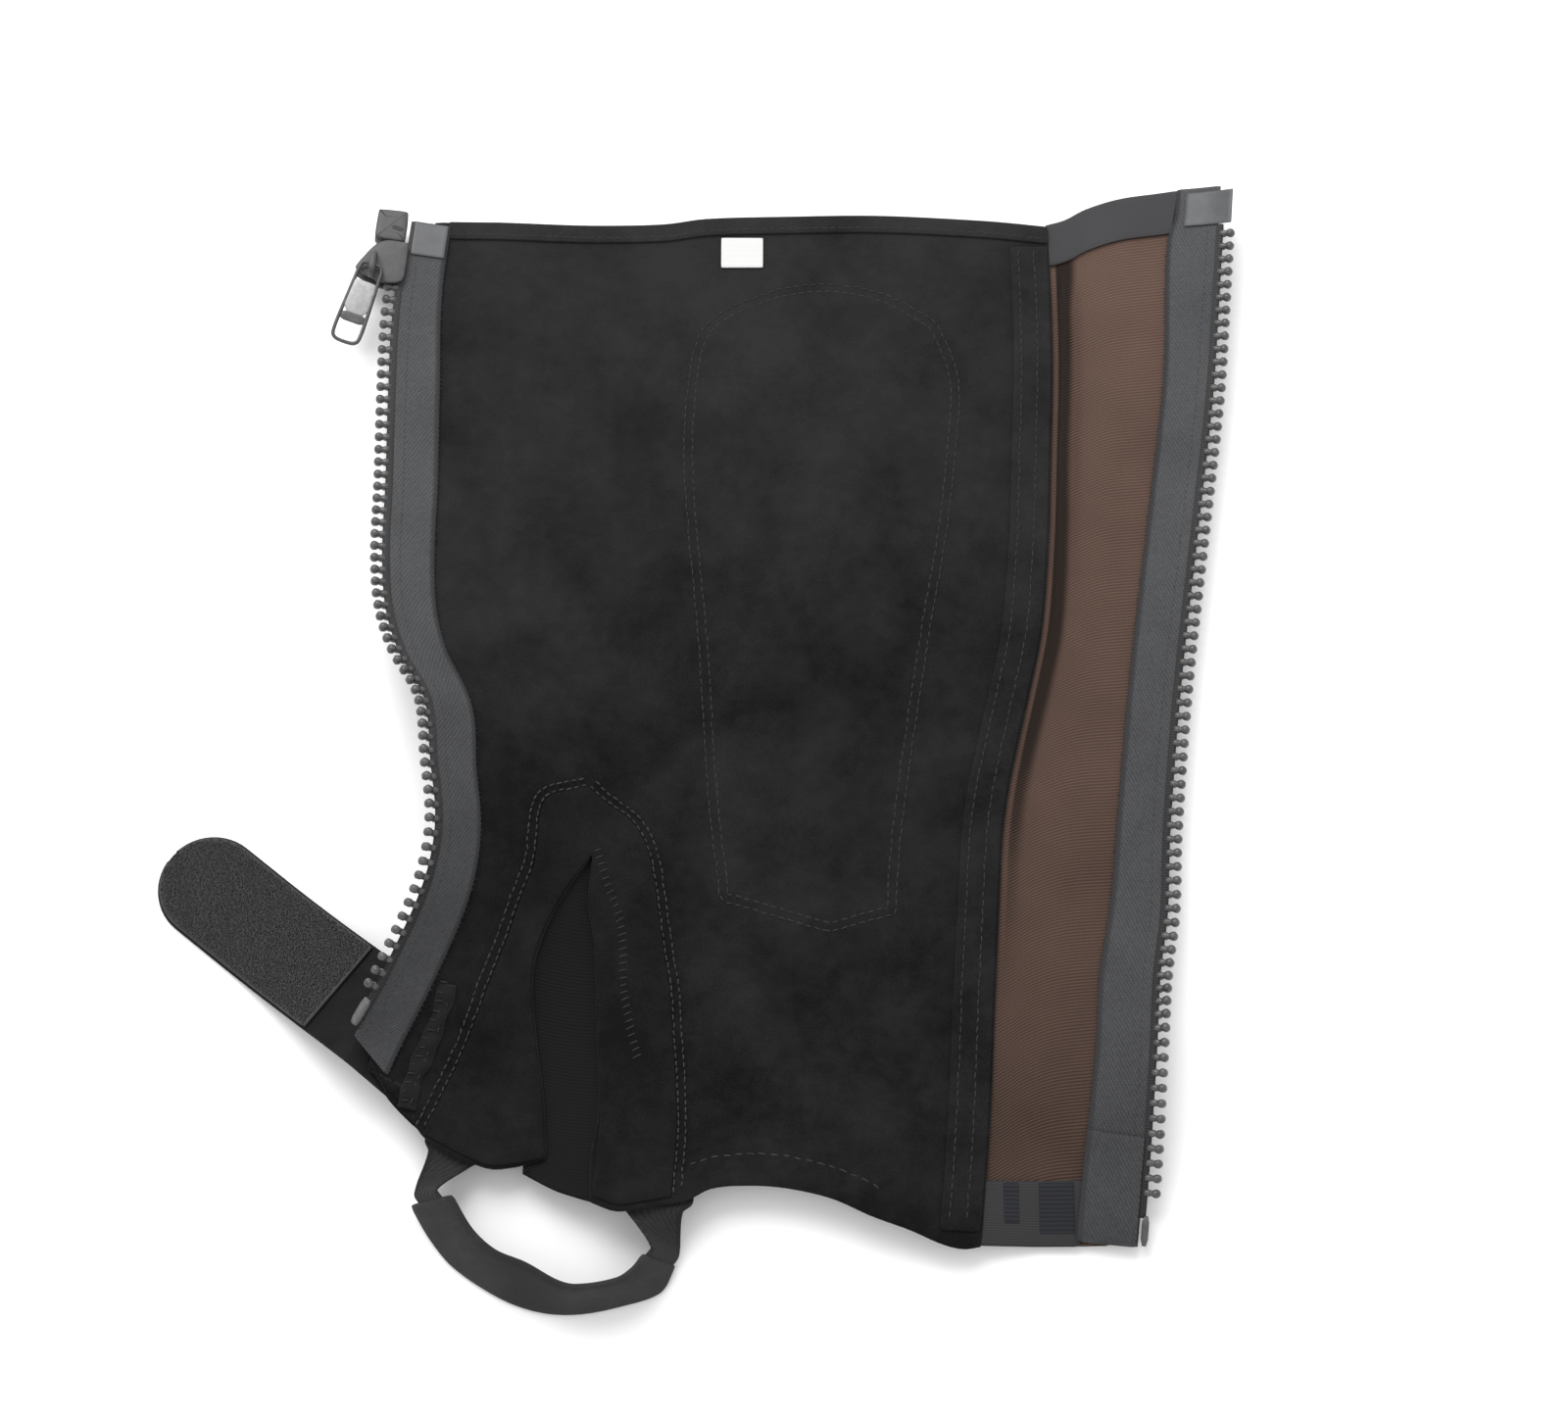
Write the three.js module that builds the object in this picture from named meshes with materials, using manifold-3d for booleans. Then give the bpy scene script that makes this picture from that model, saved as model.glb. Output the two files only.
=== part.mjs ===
// A suede half chap for riding, unzipped and laid open with its inner side up.
// Units are millimetres, +Z is up, and the top hem of the leg lies toward +Y.
import * as THREE from "three";
import { mergeVertices } from "three/addons/utils/BufferGeometryUtils.js";
import Module from "manifold-3d";

const wasm = await Module();
wasm.setup();

// Driving sizes of the whole chap
const chapHeight = 344;        // top hem to the lower rear corner
const topWidth = 273;          // between the two tooth rows at the top, laid open
const halfWidth = topWidth / 2;
const touchGap = 0.3;          // clearance where two pieces lie face to face
const cellSize = 14.5;         // spacing of the facets that all draped pieces share

// Walls
const patchWall = 1.2;
const elasticWall = 1.2;
const gussetElasticWall = 1.2;
const suedeWall = 1.4;
const facingWall = 1.2;
const tapeWall = 1.0;
const bandWall = 1.0;
const labelWall = 1.0;
const filmWall = 0.5;
const hookStrapWall = 1.6;
const hookPadWall = 1.8;
const stirrupWall = 2.2;
const stirrupEndWall = 1.0;

// Seams and strips
const seamLap = 6;             // how far one layer runs under the next at a seam
const hemWidth = 5.5;
const rearFacingWidth = 12;
const topBandWidth = 14.5;
const bottomBandWidth = 19;
const labelWidth = 13.5;
const labelHeight = 10.5;

// Zip
const tapeWidth = 15.2;
const toothPitch = 4.55;
const toothWidth = 2.6;
const toothLength = 4.9;
const toothWall = 3.0;
const beadWidth = 2.4;
const toothTaper = 0.8;        // a tooth's height at its tip, as a share of toothWall
const filmLength = 11.5;
const filmFrontInset = 2.4;    // clear of the slider's flange
const filmRearInset = -3.6;    // it reaches past the tape's edge, above the first tooth
const filmRearWidth = 16;
const tabInset = 1.4;
const tabLength = 31;
const tabWidth = 17.2;

// How high the edges curl while the chap lies open
const ankleRise = 41;
const rearRise = 18;
const ankleCurl = 72;          // distance over which the ankle edge comes down to flat
const rearCurl = 50;
const bottomLift = 9;
const topWave = 1.5;
const rearTopRise = 10;
const pleatHeight = 2.2;
const pleatWidth = 2.8;
const pleatOffset = 5.0;       // from the suede's edge to the pleat's middle
const pleatStart = 0.075;      // shares of chapHeight
const pleatEnd = 0.60;

// Front edge: the line where the teeth leave the tape. down is a share of chapHeight from the top,
// side a share of halfWidth from the middle line, rise a share of ankleRise.
const frontEdge = [
  { down: -0.03, side: -1.005, rise: 0.22 },
  { down: 0.10, side: -1.035, rise: 0.22 },
  { down: 0.19, side: -1.037, rise: 0.245 },
  { down: 0.28, side: -1.034, rise: 0.29 },
  { down: 0.36, side: -1.033, rise: 0.415 },
  { down: 0.42, side: -1.018, rise: 0.54 },
  { down: 0.47, side: -0.980, rise: 0.68 },
  { down: 0.52, side: -0.915, rise: 0.82 },
  { down: 0.58, side: -0.894, rise: 0.95 },
  { down: 0.64, side: -0.877, rise: 1.00 },
  { down: 0.69, side: -0.900, rise: 0.93 },
  { down: 0.76, side: -0.980, rise: 0.78 },
  { down: 0.84, side: -1.083, rise: 0.585 },
  { down: 1.00, side: -1.136, rise: 0.44 },
];

// Rear edge of the zip, with rise as a share of rearRise
const rearEdge = [
  { down: -0.03, side: 0.994, rise: 0.90 },
  { down: 0.09, side: 0.966, rise: 0.72 },
  { down: 0.19, side: 0.941, rise: 0.61 },
  { down: 0.32, side: 0.894, rise: 0.55 },
  { down: 0.48, side: 0.836, rise: 0.50 },
  { down: 0.62, side: 0.797, rise: 0.50 },
  { down: 0.70, side: 0.783, rise: 0.56 },
  { down: 0.76, side: 0.760, rise: 0.72 },
  { down: 0.82, side: 0.746, rise: 1.00 },
  { down: 0.88, side: 0.732, rise: 0.89 },
  { down: 0.93, side: 0.720, rise: 0.56 },
  { down: 1.01, side: 0.698, rise: 0.17 },
];

// How much wider the two tapes show than tapeWidth, as shares of it
const tapeSpread = [
  { down: -0.03, front: -0.11, rear: 0.12 },
  { down: 0.06, front: -0.10, rear: 0.13 },
  { down: 0.15, front: -0.02, rear: 0.02 },
  { down: 0.24, front: 0.00, rear: 0.00 },
  { down: 0.62, front: 0.00, rear: 0.00 },
  { down: 0.72, front: 0.00, rear: 0.12 },
  { down: 0.84, front: 0.00, rear: 0.21 },
  { down: 1.01, front: 0.00, rear: 0.20 },
];

// Where the suede ends over the elastic
const seamLine = [
  { down: -0.03, side: 0.558 },
  { down: 0.135, side: 0.563 },
  { down: 0.26, side: 0.550 },
  { down: 0.33, side: 0.541 },
  { down: 0.42, side: 0.519 },
  { down: 0.48, side: 0.487 },
  { down: 0.535, side: 0.454 },
  { down: 0.575, side: 0.432 },
  { down: 0.62, side: 0.415 },
  { down: 0.67, side: 0.406 },
  { down: 0.78, side: 0.388 },
  { down: 0.89, side: 0.371 },
  { down: 1.01, side: 0.342 },
];

// The top edge of the suede waves a little; wave is a share of topWave
const topEdge = [
  { side: -1.03, wave: -0.9 },
  { side: -0.76, wave: -0.4 },
  { side: -0.52, wave: -0.5 },
  { side: -0.38, wave: -0.2 },
  { side: -0.28, wave: 1.1 },
  { side: -0.09, wave: 1.75 },
  { side: 0.15, wave: 1.95 },
  { side: 0.40, wave: 0.6 },
  { side: 0.56, wave: -1.0 },
];

// The top edge of the elastic climbs toward the zip; lift is a share of rearTopRise
const elasticTop = [
  { side: 0.50, lift: -0.20 },
  { side: 0.60, lift: 0.12 },
  { side: 0.66, lift: 0.56 },
  { side: 0.74, lift: 0.88 },
  { side: 0.84, lift: 0.95 },
  { side: 1.02, lift: 0.90 },
];

// The lower edge of the suede, from the rear corner to the gusset
const bottomEdge = [
  { side: 0.343, down: 0.998 },
  { side: 0.305, down: 1.000 },
  { side: 0.260, down: 0.996 },
  { side: 0.194, down: 0.985 },
  { side: 0.107, down: 0.973 },
  { side: 0.020, down: 0.958 },
  { side: -0.088, down: 0.948 },
  { side: -0.175, down: 0.946 },
  { side: -0.250, down: 0.949 },
  { side: -0.305, down: 0.960 },
  { side: -0.378, down: 0.965 },
  { side: -0.455, down: 0.970 },
  { side: -0.512, down: 0.962 },
];

// The lower edge of the suede in front of the gusset
const ankleCorner = [
  { side: -0.622, down: 0.921 },
  { side: -0.690, down: 0.929 },
  { side: -0.750, down: 0.930 },
  { side: -0.886, down: 0.904 },
  { side: -0.938, down: 0.860 },
];

// The mouth of the gusset: front and rear are shares of halfWidth
const gussetMouth = [
  { down: 0.641, front: -0.530, rear: -0.524 },
  { down: 0.666, front: -0.571, rear: -0.530 },
  { down: 0.689, front: -0.605, rear: -0.532 },
  { down: 0.718, front: -0.639, rear: -0.520 },
  { down: 0.753, front: -0.662, rear: -0.513 },
  { down: 0.805, front: -0.655, rear: -0.508 },
  { down: 0.875, front: -0.631, rear: -0.500 },
  { down: 0.921, front: -0.622, rear: -0.514 },
  { down: 0.962, front: -0.622, rear: -0.512 },
];

// The outer edges of the two suede strips beside the gusset
const gussetFacing = [
  { down: 0.580, front: -0.545, rear: -0.539 },
  { down: 0.593, front: -0.626, rear: -0.505 },
  { down: 0.609, front: -0.643, rear: -0.447 },
  { down: 0.628, front: -0.647, rear: -0.415 },
  { down: 0.657, front: -0.653, rear: -0.394 },
  { down: 0.686, front: -0.678, rear: -0.383 },
  { down: 0.735, front: -0.720, rear: -0.365 },
  { down: 0.765, front: -0.750, rear: -0.352 },
  { down: 0.814, front: -0.794, rear: -0.343 },
  { down: 0.852, front: -0.833, rear: -0.336 },
  { down: 0.900, front: -0.872, rear: -0.332 },
  { down: 0.964, front: -0.880, rear: -0.334 },
];

// The calf patch, in shares of its own width and height
const patchWidth = 92;
const patchHeight = 225;
const patchMiddle = 0.0075;    // share of halfWidth
const patchTop = 0.061;        // share of chapHeight
const patchOutline = [
  { across: 0.05, down: 0.000 },
  { across: 0.245, down: 0.020 },
  { across: 0.41, down: 0.062 },
  { across: 0.475, down: 0.118 },
  { across: 0.50, down: 0.180 },
  { across: 0.484, down: 0.265 },
  { across: 0.451, down: 0.384 },
  { across: 0.363, down: 0.595 },
  { across: 0.277, down: 0.834 },
  { across: 0.245, down: 0.972 },
  { across: 0.12, down: 0.993 },
  { across: 0.012, down: 1.000 },
  { across: -0.365, down: 0.953 },
  { across: -0.408, down: 0.823 },
  { across: -0.451, down: 0.572 },
  { across: -0.504, down: 0.336 },
  { across: -0.508, down: 0.228 },
  { across: -0.475, down: 0.105 },
  { across: -0.423, down: 0.063 },
  { across: -0.312, down: 0.032 },
  { across: -0.145, down: 0.007 },
];

// The closing strap, which runs from under the ankle edge down to the surface
const hookStrapWidth = 32;
const hookStrapLength = 109.5;
const hookPadLength = 71;
const hookPadInset = 0.4;
const hookStrapTurn = -38.5;   // degrees from +X, pointing from the tip to the sewn end
const hookEndSide = -0.875;    // where the sewn end's middle lies, under the suede
const hookEndDown = 0.8385;
const hookStrapRise = 21;
const hookStrapProfile = [
  { along: -0.05, rise: 0.00 },
  { along: 0.30, rise: 0.00 },
  { along: 0.45, rise: 0.10 },
  { along: 0.60, rise: 0.36 },
  { along: 0.75, rise: 0.70 },
  { along: 0.90, rise: 0.93 },
  { along: 1.10, rise: 1.00 },
];

// The strap under the foot. outer and inner are its two long edges, in shares of stirrupReach
// behind and below the point where the strap starts; the z columns are shares of stirrupStand.
const stirrupReach = 80;
const stirrupStand = 18;
const stirrupStartSide = -0.911;
const stirrupStartDown = 0.971;
const stirrupRows = [
  { outerX: 0.000, outerY: 0.035, outerZ: 0.15, innerX: 0.154, innerY: 0.040, innerZ: 1.00 },
  { outerX: 0.070, outerY: -0.078, outerZ: 0.05, innerX: 0.230, innerY: -0.080, innerZ: 1.00 },
  { outerX: 0.160, outerY: -0.180, outerZ: 0.00, innerX: 0.320, innerY: -0.160, innerZ: 1.00 },
  { outerX: 0.335, outerY: -0.292, outerZ: 0.00, innerX: 0.435, innerY: -0.208, innerZ: 1.00 },
  { outerX: 0.480, outerY: -0.343, outerZ: 0.00, innerX: 0.560, innerY: -0.275, innerZ: 1.00 },
  { outerX: 0.625, outerY: -0.352, outerZ: 0.00, innerX: 0.635, innerY: -0.290, innerZ: 1.00 },
  { outerX: 0.800, outerY: -0.319, outerZ: 0.00, innerX: 0.785, innerY: -0.265, innerZ: 1.00 },
  { outerX: 0.930, outerY: -0.272, outerZ: 0.00, innerX: 0.845, innerY: -0.225, innerZ: 0.98 },
  { outerX: 0.978, outerY: -0.190, outerZ: 0.08, innerX: 0.880, innerY: -0.178, innerZ: 0.92 },
];
const stirrupEndCover = 11;    // how far the ends run under the suede
const stirrupEndLead = 4;      // how far they go straight on from the strap
const stirrupEnds = {
  front: { side: -0.826, down: 0.915, turn: 19, width: 17, neck: 0.58 },
  rear: { side: -0.374, down: 0.962, turn: 3, width: 22, neck: 0.92 },
};

// Slider, box and pull
const sliderDown = 0.052;      // share of chapHeight
const sliderLength = 16.2;
const sliderPlate = 1.3;
const sliderRoom = 0.45;       // clearance over the teeth
const sliderFlange = 1.2;
const sliderPost = 3.0;
const sliderPostLength = 4.6;
const sliderPostInset = 1.4;   // from the slider's wide end
const meshHalf = 7.0;          // tooth root to the middle of the slider
const sliderWidth = 2 * (meshHalf + sliderFlange + 0.1);
const bailLength = 9.4;
const bailShift = 2.6;         // toward the pull's end of the slider
const bailSide = -2.6;         // away from the tape
const bailWidth = 2.2;
const bailPlay = 4.0;          // between the bail's sides and the pull's arms, both sides together
const bailBar = 1.3;
const bailSplay = 1.0;         // how far each leg leans inward over its height
const barSeat = 2.6;           // from the bail's lower leg to the middle of the pull's bar
const bailHeight = 4.4;
const boxLength = 10.5;
const boxWidth = 10.2;
const boxHeight = 5.4;
const pullLength = 22.4;
const pullStartWidth = 8.6;
const pullEndWidth = 10.6;
const pullCorner = 2.4;
const pullWall = 1.5;
const pullNeck = 6.2;          // the window round the bail
const pullNeckLap = 1.5;       // how far the arms run onto the plate
const pullArm = 1.1;
const pullBar = 1.3;
const pullTurn = 12;           // degrees away from the zip's own line
const pullDroop = 8;           // degrees below level
const pullHoleWidth = 7.2;
const pullHoleLength = 6.0;
const pullRim = 1.7;           // from the hole to the pull's end
const stopLength = 9.0;
const stopWidth = 2.2;
const stopHeight = 3.4;

// The slider's plates, wide where the two rows come in apart and narrow where they leave closed.
// across is a share of half sliderWidth, toward the tape, and along a share of half sliderLength, up the zip.
const sliderOutline = [
  { across: -0.19, along: 0.92 },
  { across: 0.92, along: 0.94 },
  { across: 1.00, along: 0.84 },
  { across: 1.00, along: -0.55 },
  { across: 0.92, along: -0.84 },
  { across: 0.62, along: -0.97 },
  { across: 0.08, along: -1.00 },
  { across: -0.58, along: -0.76 },
  { across: -0.95, along: -0.58 },
  { across: -1.00, along: -0.42 },
];
const sliderTapeSide = [2, 3];     // rows between which the plates have a flange over the tape
const sliderOuterSide = [9, 0];

// Heights of the layers above the lay of the lowest one
const underTop = Math.max(patchWall, elasticWall, gussetElasticWall);
const suedeLow = underTop + touchGap;
const suedeHigh = suedeLow + suedeWall;
const facingLow = suedeHigh + touchGap;
const facingHigh = facingLow + facingWall;
const frontTapeHigh = facingLow + tapeWall;
const rearTapeLow = elasticWall + touchGap;
const rearTapeHigh = rearTapeLow + tapeWall;
const frontTapeMid = (facingLow + frontTapeHigh) / 2;
const rearTapeMid = (rearTapeLow + rearTapeHigh) / 2;

// A smooth curve through a table's rows: f(t) with slopes taken from the neighbouring rows
function curve(rows, key, value) {
  const last = rows.length - 1;
  const slope = rows.map((row, i) => {
    const before = rows[Math.max(i - 1, 0)];
    const after = rows[Math.min(i + 1, last)];
    return (after[value] - before[value]) / (after[key] - before[key]);
  });
  return (t) => {
    if (t <= rows[0][key]) return rows[0][value] + slope[0] * (t - rows[0][key]);
    if (t >= rows[last][key]) return rows[last][value] + slope[last] * (t - rows[last][key]);
    let i = 0;
    while (t > rows[i + 1][key]) i += 1;
    const span = rows[i + 1][key] - rows[i][key];
    const s = (t - rows[i][key]) / span;
    const rise = rows[i + 1][value] - rows[i][value];
    const a = slope[i] * span - rise;
    const b = rise - slope[i + 1] * span;
    return rows[i][value] + s * rise + s * (1 - s) * ((1 - s) * a + s * b);
  };
}

const frontSide = curve(frontEdge, "down", "side");
const frontRise = curve(frontEdge, "down", "rise");
const rearSide = curve(rearEdge, "down", "side");
const rearRiseShare = curve(rearEdge, "down", "rise");
const seamSide = curve(seamLine, "down", "side");
const spreadOf = {
  front: curve(tapeSpread, "down", "front"),
  rear: curve(tapeSpread, "down", "rear"),
};
const topWaveShare = curve(topEdge, "side", "wave");
const elasticTopShare = curve(elasticTop, "side", "lift");
const hookRise = curve(hookStrapProfile, "along", "rise");

const yOf = (down) => chapHeight * (0.5 - down);
const downOf = (y) => 0.5 - y / chapHeight;
const xOf = (side) => halfWidth * side;
const spot = (side, down) => new THREE.Vector2(xOf(side), yOf(down));

// Height of the lowest layer's underside: flat in the middle, curled up along both zip edges,
// and lifted along the bottom between the gusset and the rear corner
const bottomLiftStart = 0.80;
const bottomLiftSpan = 0.145;
const bottomLiftRear = 65;
function lay(x, y) {
  const down = downOf(y);
  const front = Math.max(0, 1 - (x - xOf(frontSide(down))) / ankleCurl) ** 2;
  const rear = Math.max(0, 1 - (xOf(rearSide(down)) - x) / rearCurl) ** 2;
  const frontHeight = Math.max(0, ankleRise * frontRise(down) - frontTapeMid);
  const rearHeight = Math.max(0, rearRise * rearRiseShare(down) - rearTapeMid);
  const low = Math.max(0, (down - bottomLiftStart) / bottomLiftSpan) ** 2;
  const across = THREE.MathUtils.clamp(1 - x / bottomLiftRear, 0, 1);
  return frontHeight * front + rearHeight * rear + bottomLift * low * across;
}

// The slopes of a height function, and how much longer its surface is than its plan
const slopeStep = 0.5;
function slopeOf(base, x, y) {
  const dx = (base(x + slopeStep, y) - base(x - slopeStep, y)) / (2 * slopeStep);
  const dy = (base(x, y + slopeStep) - base(x, y - slopeStep)) / (2 * slopeStep);
  return { dx, dy, stretch: Math.sqrt(1 + dx * dx + dy * dy) };
}

function toSolid(geometry) {
  const bare = geometry.clone();
  for (const name of Object.keys(bare.attributes)) if (name !== "position") bare.deleteAttribute(name);
  const merged = mergeVertices(bare, 1e-4);
  const mesh = new wasm.Mesh({
    numProp: 3,
    vertProperties: new Float32Array(merged.attributes.position.array),
    triVerts: new Uint32Array(merged.index.array),
  });
  return new wasm.Manifold(mesh);
}

function toGeometry(solid) {
  const mesh = solid.getMesh();
  const geometry = new THREE.BufferGeometry();
  const count = mesh.vertProperties.length / mesh.numProp;
  const positions = new Float32Array(count * 3);
  for (let i = 0; i < count; i += 1) {
    for (let k = 0; k < 3; k += 1) positions[3 * i + k] = mesh.vertProperties[i * mesh.numProp + k];
  }
  geometry.setAttribute("position", new THREE.BufferAttribute(positions, 3));
  geometry.setIndex(new THREE.BufferAttribute(new Uint32Array(mesh.triVerts), 1));
  return geometry;
}

// A closed mesh from a grid of rings: every ring has the same number of points, and both ends are capped
function ringsToGeometry(rings) {
  const size = rings[0].length;
  const positions = [];
  const index = [];
  for (const ring of rings) for (const point of ring) positions.push(point.x, point.y, point.z);
  for (let r = 0; r + 1 < rings.length; r += 1) {
    for (let i = 0; i < size; i += 1) {
      const a = r * size + i;
      const b = r * size + ((i + 1) % size);
      index.push(a, b, b + size, a, b + size, a + size);
    }
  }
  const end = (rings.length - 1) * size;
  for (let i = 1; i + 1 < size; i += 1) {
    index.push(0, i + 1, i);
    index.push(end, end + i, end + i + 1);
  }
  const geometry = new THREE.BufferGeometry();
  geometry.setAttribute("position", new THREE.BufferAttribute(new Float32Array(positions), 3));
  geometry.setIndex(index);
  return geometry;
}

// A prism over an outline, tall enough to cut through every draped piece
const prismReach = 2 * (ankleRise + rearRise + hookStrapRise);
function prism(points) {
  const geometry = new THREE.ExtrudeGeometry(new THREE.Shape(points), {
    depth: 2 * prismReach, bevelEnabled: false,
  });
  geometry.translate(0, 0, -prismReach);
  return toSolid(geometry);
}

// A wall that follows a height function between two heights measured square to it.
// All walls share one grid, so layers stay parallel facet by facet.
function drapeSolid(points, base, low, high) {
  const box = new THREE.Box2().setFromPoints(points);
  const i0 = Math.floor(box.min.x / cellSize) - 1;
  const i1 = Math.ceil(box.max.x / cellSize) + 1;
  const j0 = Math.floor(box.min.y / cellSize) - 1;
  const j1 = Math.ceil(box.max.y / cellSize) + 1;
  const nx = i1 - i0 + 1;
  const ny = j1 - j0 + 1;
  const positions = [];
  for (const top of [false, true]) {
    for (let j = 0; j < ny; j += 1) {
      for (let i = 0; i < nx; i += 1) {
        const x = (i0 + i) * cellSize;
        const y = (j0 + j) * cellSize;
        const { stretch } = slopeOf(base, x, y);
        positions.push(x, y, base(x, y) + (top ? high : low) * stretch);
      }
    }
  }
  const index = [];
  const layer = nx * ny;
  for (let j = 0; j + 1 < ny; j += 1) {
    for (let i = 0; i + 1 < nx; i += 1) {
      const a = j * nx + i;
      const b = a + 1;
      const c = b + nx;
      const d = a + nx;
      index.push(a, c, b, a, d, c);
      index.push(a + layer, b + layer, c + layer, a + layer, c + layer, d + layer);
    }
  }
  const wall = (a, b) => index.push(a, b, b + layer, a, b + layer, a + layer);
  for (let i = 0; i + 1 < nx; i += 1) {
    wall(i, i + 1);
    wall((ny - 1) * nx + i + 1, (ny - 1) * nx + i);
  }
  for (let j = 0; j + 1 < ny; j += 1) {
    wall((j + 1) * nx, j * nx);
    wall(j * nx + nx - 1, (j + 1) * nx + nx - 1);
  }
  const sheet = new THREE.BufferGeometry();
  sheet.setAttribute("position", new THREE.BufferAttribute(new Float32Array(positions), 3));
  sheet.setIndex(index);
  return toSolid(sheet).intersect(prism(points));
}

const drape = (points, base, low, high) => toGeometry(drapeSolid(points, base, low, high));

// A point of a zip edge with its own axes: along runs down the zip, out away from the chap, up off the tape
const edgeStep = 0.004;            // share of chapHeight
function edgeFrame(edge, down) {
  const front = edge === "front";
  const side = front ? frontSide : rearSide;
  const mid = front ? frontTapeMid : rearTapeMid;
  const at = (d) => {
    const x = xOf(side(d));
    const y = yOf(d);
    const { dx, dy } = slopeOf(lay, x, y);
    const up = new THREE.Vector3(-dx, -dy, 1).normalize();
    return { point: new THREE.Vector3(x, y, lay(x, y)).addScaledVector(up, mid), up };
  };
  const here = at(down);
  const along = at(down + edgeStep).point.sub(at(down - edgeStep).point).normalize();
  const out = new THREE.Vector3().crossVectors(here.up, along).multiplyScalar(front ? -1 : 1).normalize();
  if (front ? out.x > 0 : out.x < 0) out.negate();
  const up = new THREE.Vector3().crossVectors(out, along).normalize();
  if (up.z < 0) up.negate();
  return { point: here.point, along, out, up };
}

// Plan line at a distance inside a zip edge, measured over the curled surface. A wall that is cut off
// plumb on a slope needs half its thickness times the slope more, so that its lower corner stays clear.
// spread is the part of the inset that widens and narrows with the tape.
const insideSteps = 24;
function insideLine(edge, inset, downs, { wall = 0, spread = 0 } = {}) {
  return downs.map((down) => {
    const frame = edgeFrame(edge, down);
    const tilt = Math.acos(THREE.MathUtils.clamp(frame.up.z, -1, 1));
    const distance = inset + spread * spreadOf[edge](down) + (wall / 2) * Math.tan(tilt);
    const flat = new THREE.Vector2(frame.out.x, frame.out.y);
    const turn = flat.clone().normalize();
    const start = new THREE.Vector2(frame.point.x, frame.point.y);
    let walked = 0;
    let reach = 0;
    const step = distance / insideSteps;
    let z = lay(start.x, start.y);
    while (walked < distance - 1e-9) {
      reach += step;
      const next = lay(start.x - turn.x * reach, start.y - turn.y * reach);
      walked += Math.hypot(step, next - z);
      z = next;
    }
    return new THREE.Vector2(start.x - turn.x * reach, start.y - turn.y * reach);
  });
}

function range(from, to, count) {
  return Array.from({ length: count + 1 }, (_, i) => from + ((to - from) * i) / count);
}

const rootInset = 0.45;
const edgeTop = 0.004;
const frontTapeEnd = 0.838;
const frontRootEnd = 0.815;        // the front tape's lower end is cut slanting
const rearTapeTop = -0.019;
const rearTapeEnd = 0.996;

// The suede's front boundary runs under the tape by the seam's lap
const frontSteps = 34;
const rearSteps = 22;
const frontTapeDowns = range(edgeTop, frontTapeEnd, frontSteps);
const rearTapeDowns = range(rearTapeTop, rearTapeEnd, rearSteps);
const frontRootDowns = range(edgeTop, frontRootEnd, frontSteps);
const frontRoots = insideLine("front", rootInset, frontRootDowns, { wall: tapeWall });
const frontTapeInner = insideLine("front", tapeWidth, frontTapeDowns, { spread: tapeWidth });
const suedeFront = insideLine("front", tapeWidth - seamLap, frontTapeDowns);
const rearRoots = insideLine("rear", rootInset, rearTapeDowns, { wall: tapeWall });
const rearTapeInner = insideLine("rear", tapeWidth, rearTapeDowns, { spread: tapeWidth });
const elasticRear = insideLine("rear", tapeWidth - seamLap, rearTapeDowns);

const topY = (side) => yOf(0) + topWave * topWaveShare(side);
const elasticTopY = (x) => yOf(0) + rearTopRise * elasticTopShare(x / halfWidth);

// Outlines

// The seam's line stays a little inside the top and bottom edges, which have lines of their own
const seamRange = { top: 0.03, bottom: 0.985 };
function suedeOutline() {
  const front = suedeFront.map((p) => p.clone());
  front[0].y = topY(front[0].x / halfWidth);
  const top = range(front[0].x / halfWidth, seamSide(0), 12)
    .slice(1)
    .map((side) => new THREE.Vector2(xOf(side), topY(side)));
  const seam = range(seamRange.top, seamRange.bottom, 20).map((down) => spot(seamSide(down), down));
  const bottom = bottomEdge.map((row) => spot(row.side, row.down));
  const mouth = gussetMouth.slice(0, -1);
  const rearMouth = mouth.map((row) => spot(row.rear, row.down)).reverse();
  const frontMouth = mouth.map((row) => spot(row.front, row.down));
  const corner = ankleCorner.slice(1).map((row) => spot(row.side, row.down));
  return [...top, ...seam, ...bottom, ...rearMouth, ...frontMouth, ...corner, ...front.reverse()];
}

function patchPoints() {
  return patchOutline.map((row) => new THREE.Vector2(
    xOf(patchMiddle) + patchWidth * row.across,
    yOf(patchTop) - patchHeight * row.down,
  ));
}

function hemOutline() {
  const start = frontTapeInner[0].x + touchGap;
  const sides = range(start / halfWidth, seamSide(edgeTop), 10);
  const upper = sides.map((side) => new THREE.Vector2(xOf(side), topY(side)));
  const lower = sides.map((side) => new THREE.Vector2(xOf(side), topY(side) - hemWidth)).reverse();
  return [...upper, ...lower];
}

const rearFacingInset = 0.6;       // from the suede's edge
const rearFacingEnd = 0.985;
function rearFacingOutline() {
  const downs = range((hemWidth + 2 * topWave + touchGap) / chapHeight, rearFacingEnd, 18);
  const rear = downs.map((down) => new THREE.Vector2(xOf(seamSide(down)) - rearFacingInset, yOf(down)));
  const front = downs.map((down) => new THREE.Vector2(xOf(seamSide(down)) - rearFacingWidth, yOf(down)));
  return [...rear, ...front.reverse()];
}

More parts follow.
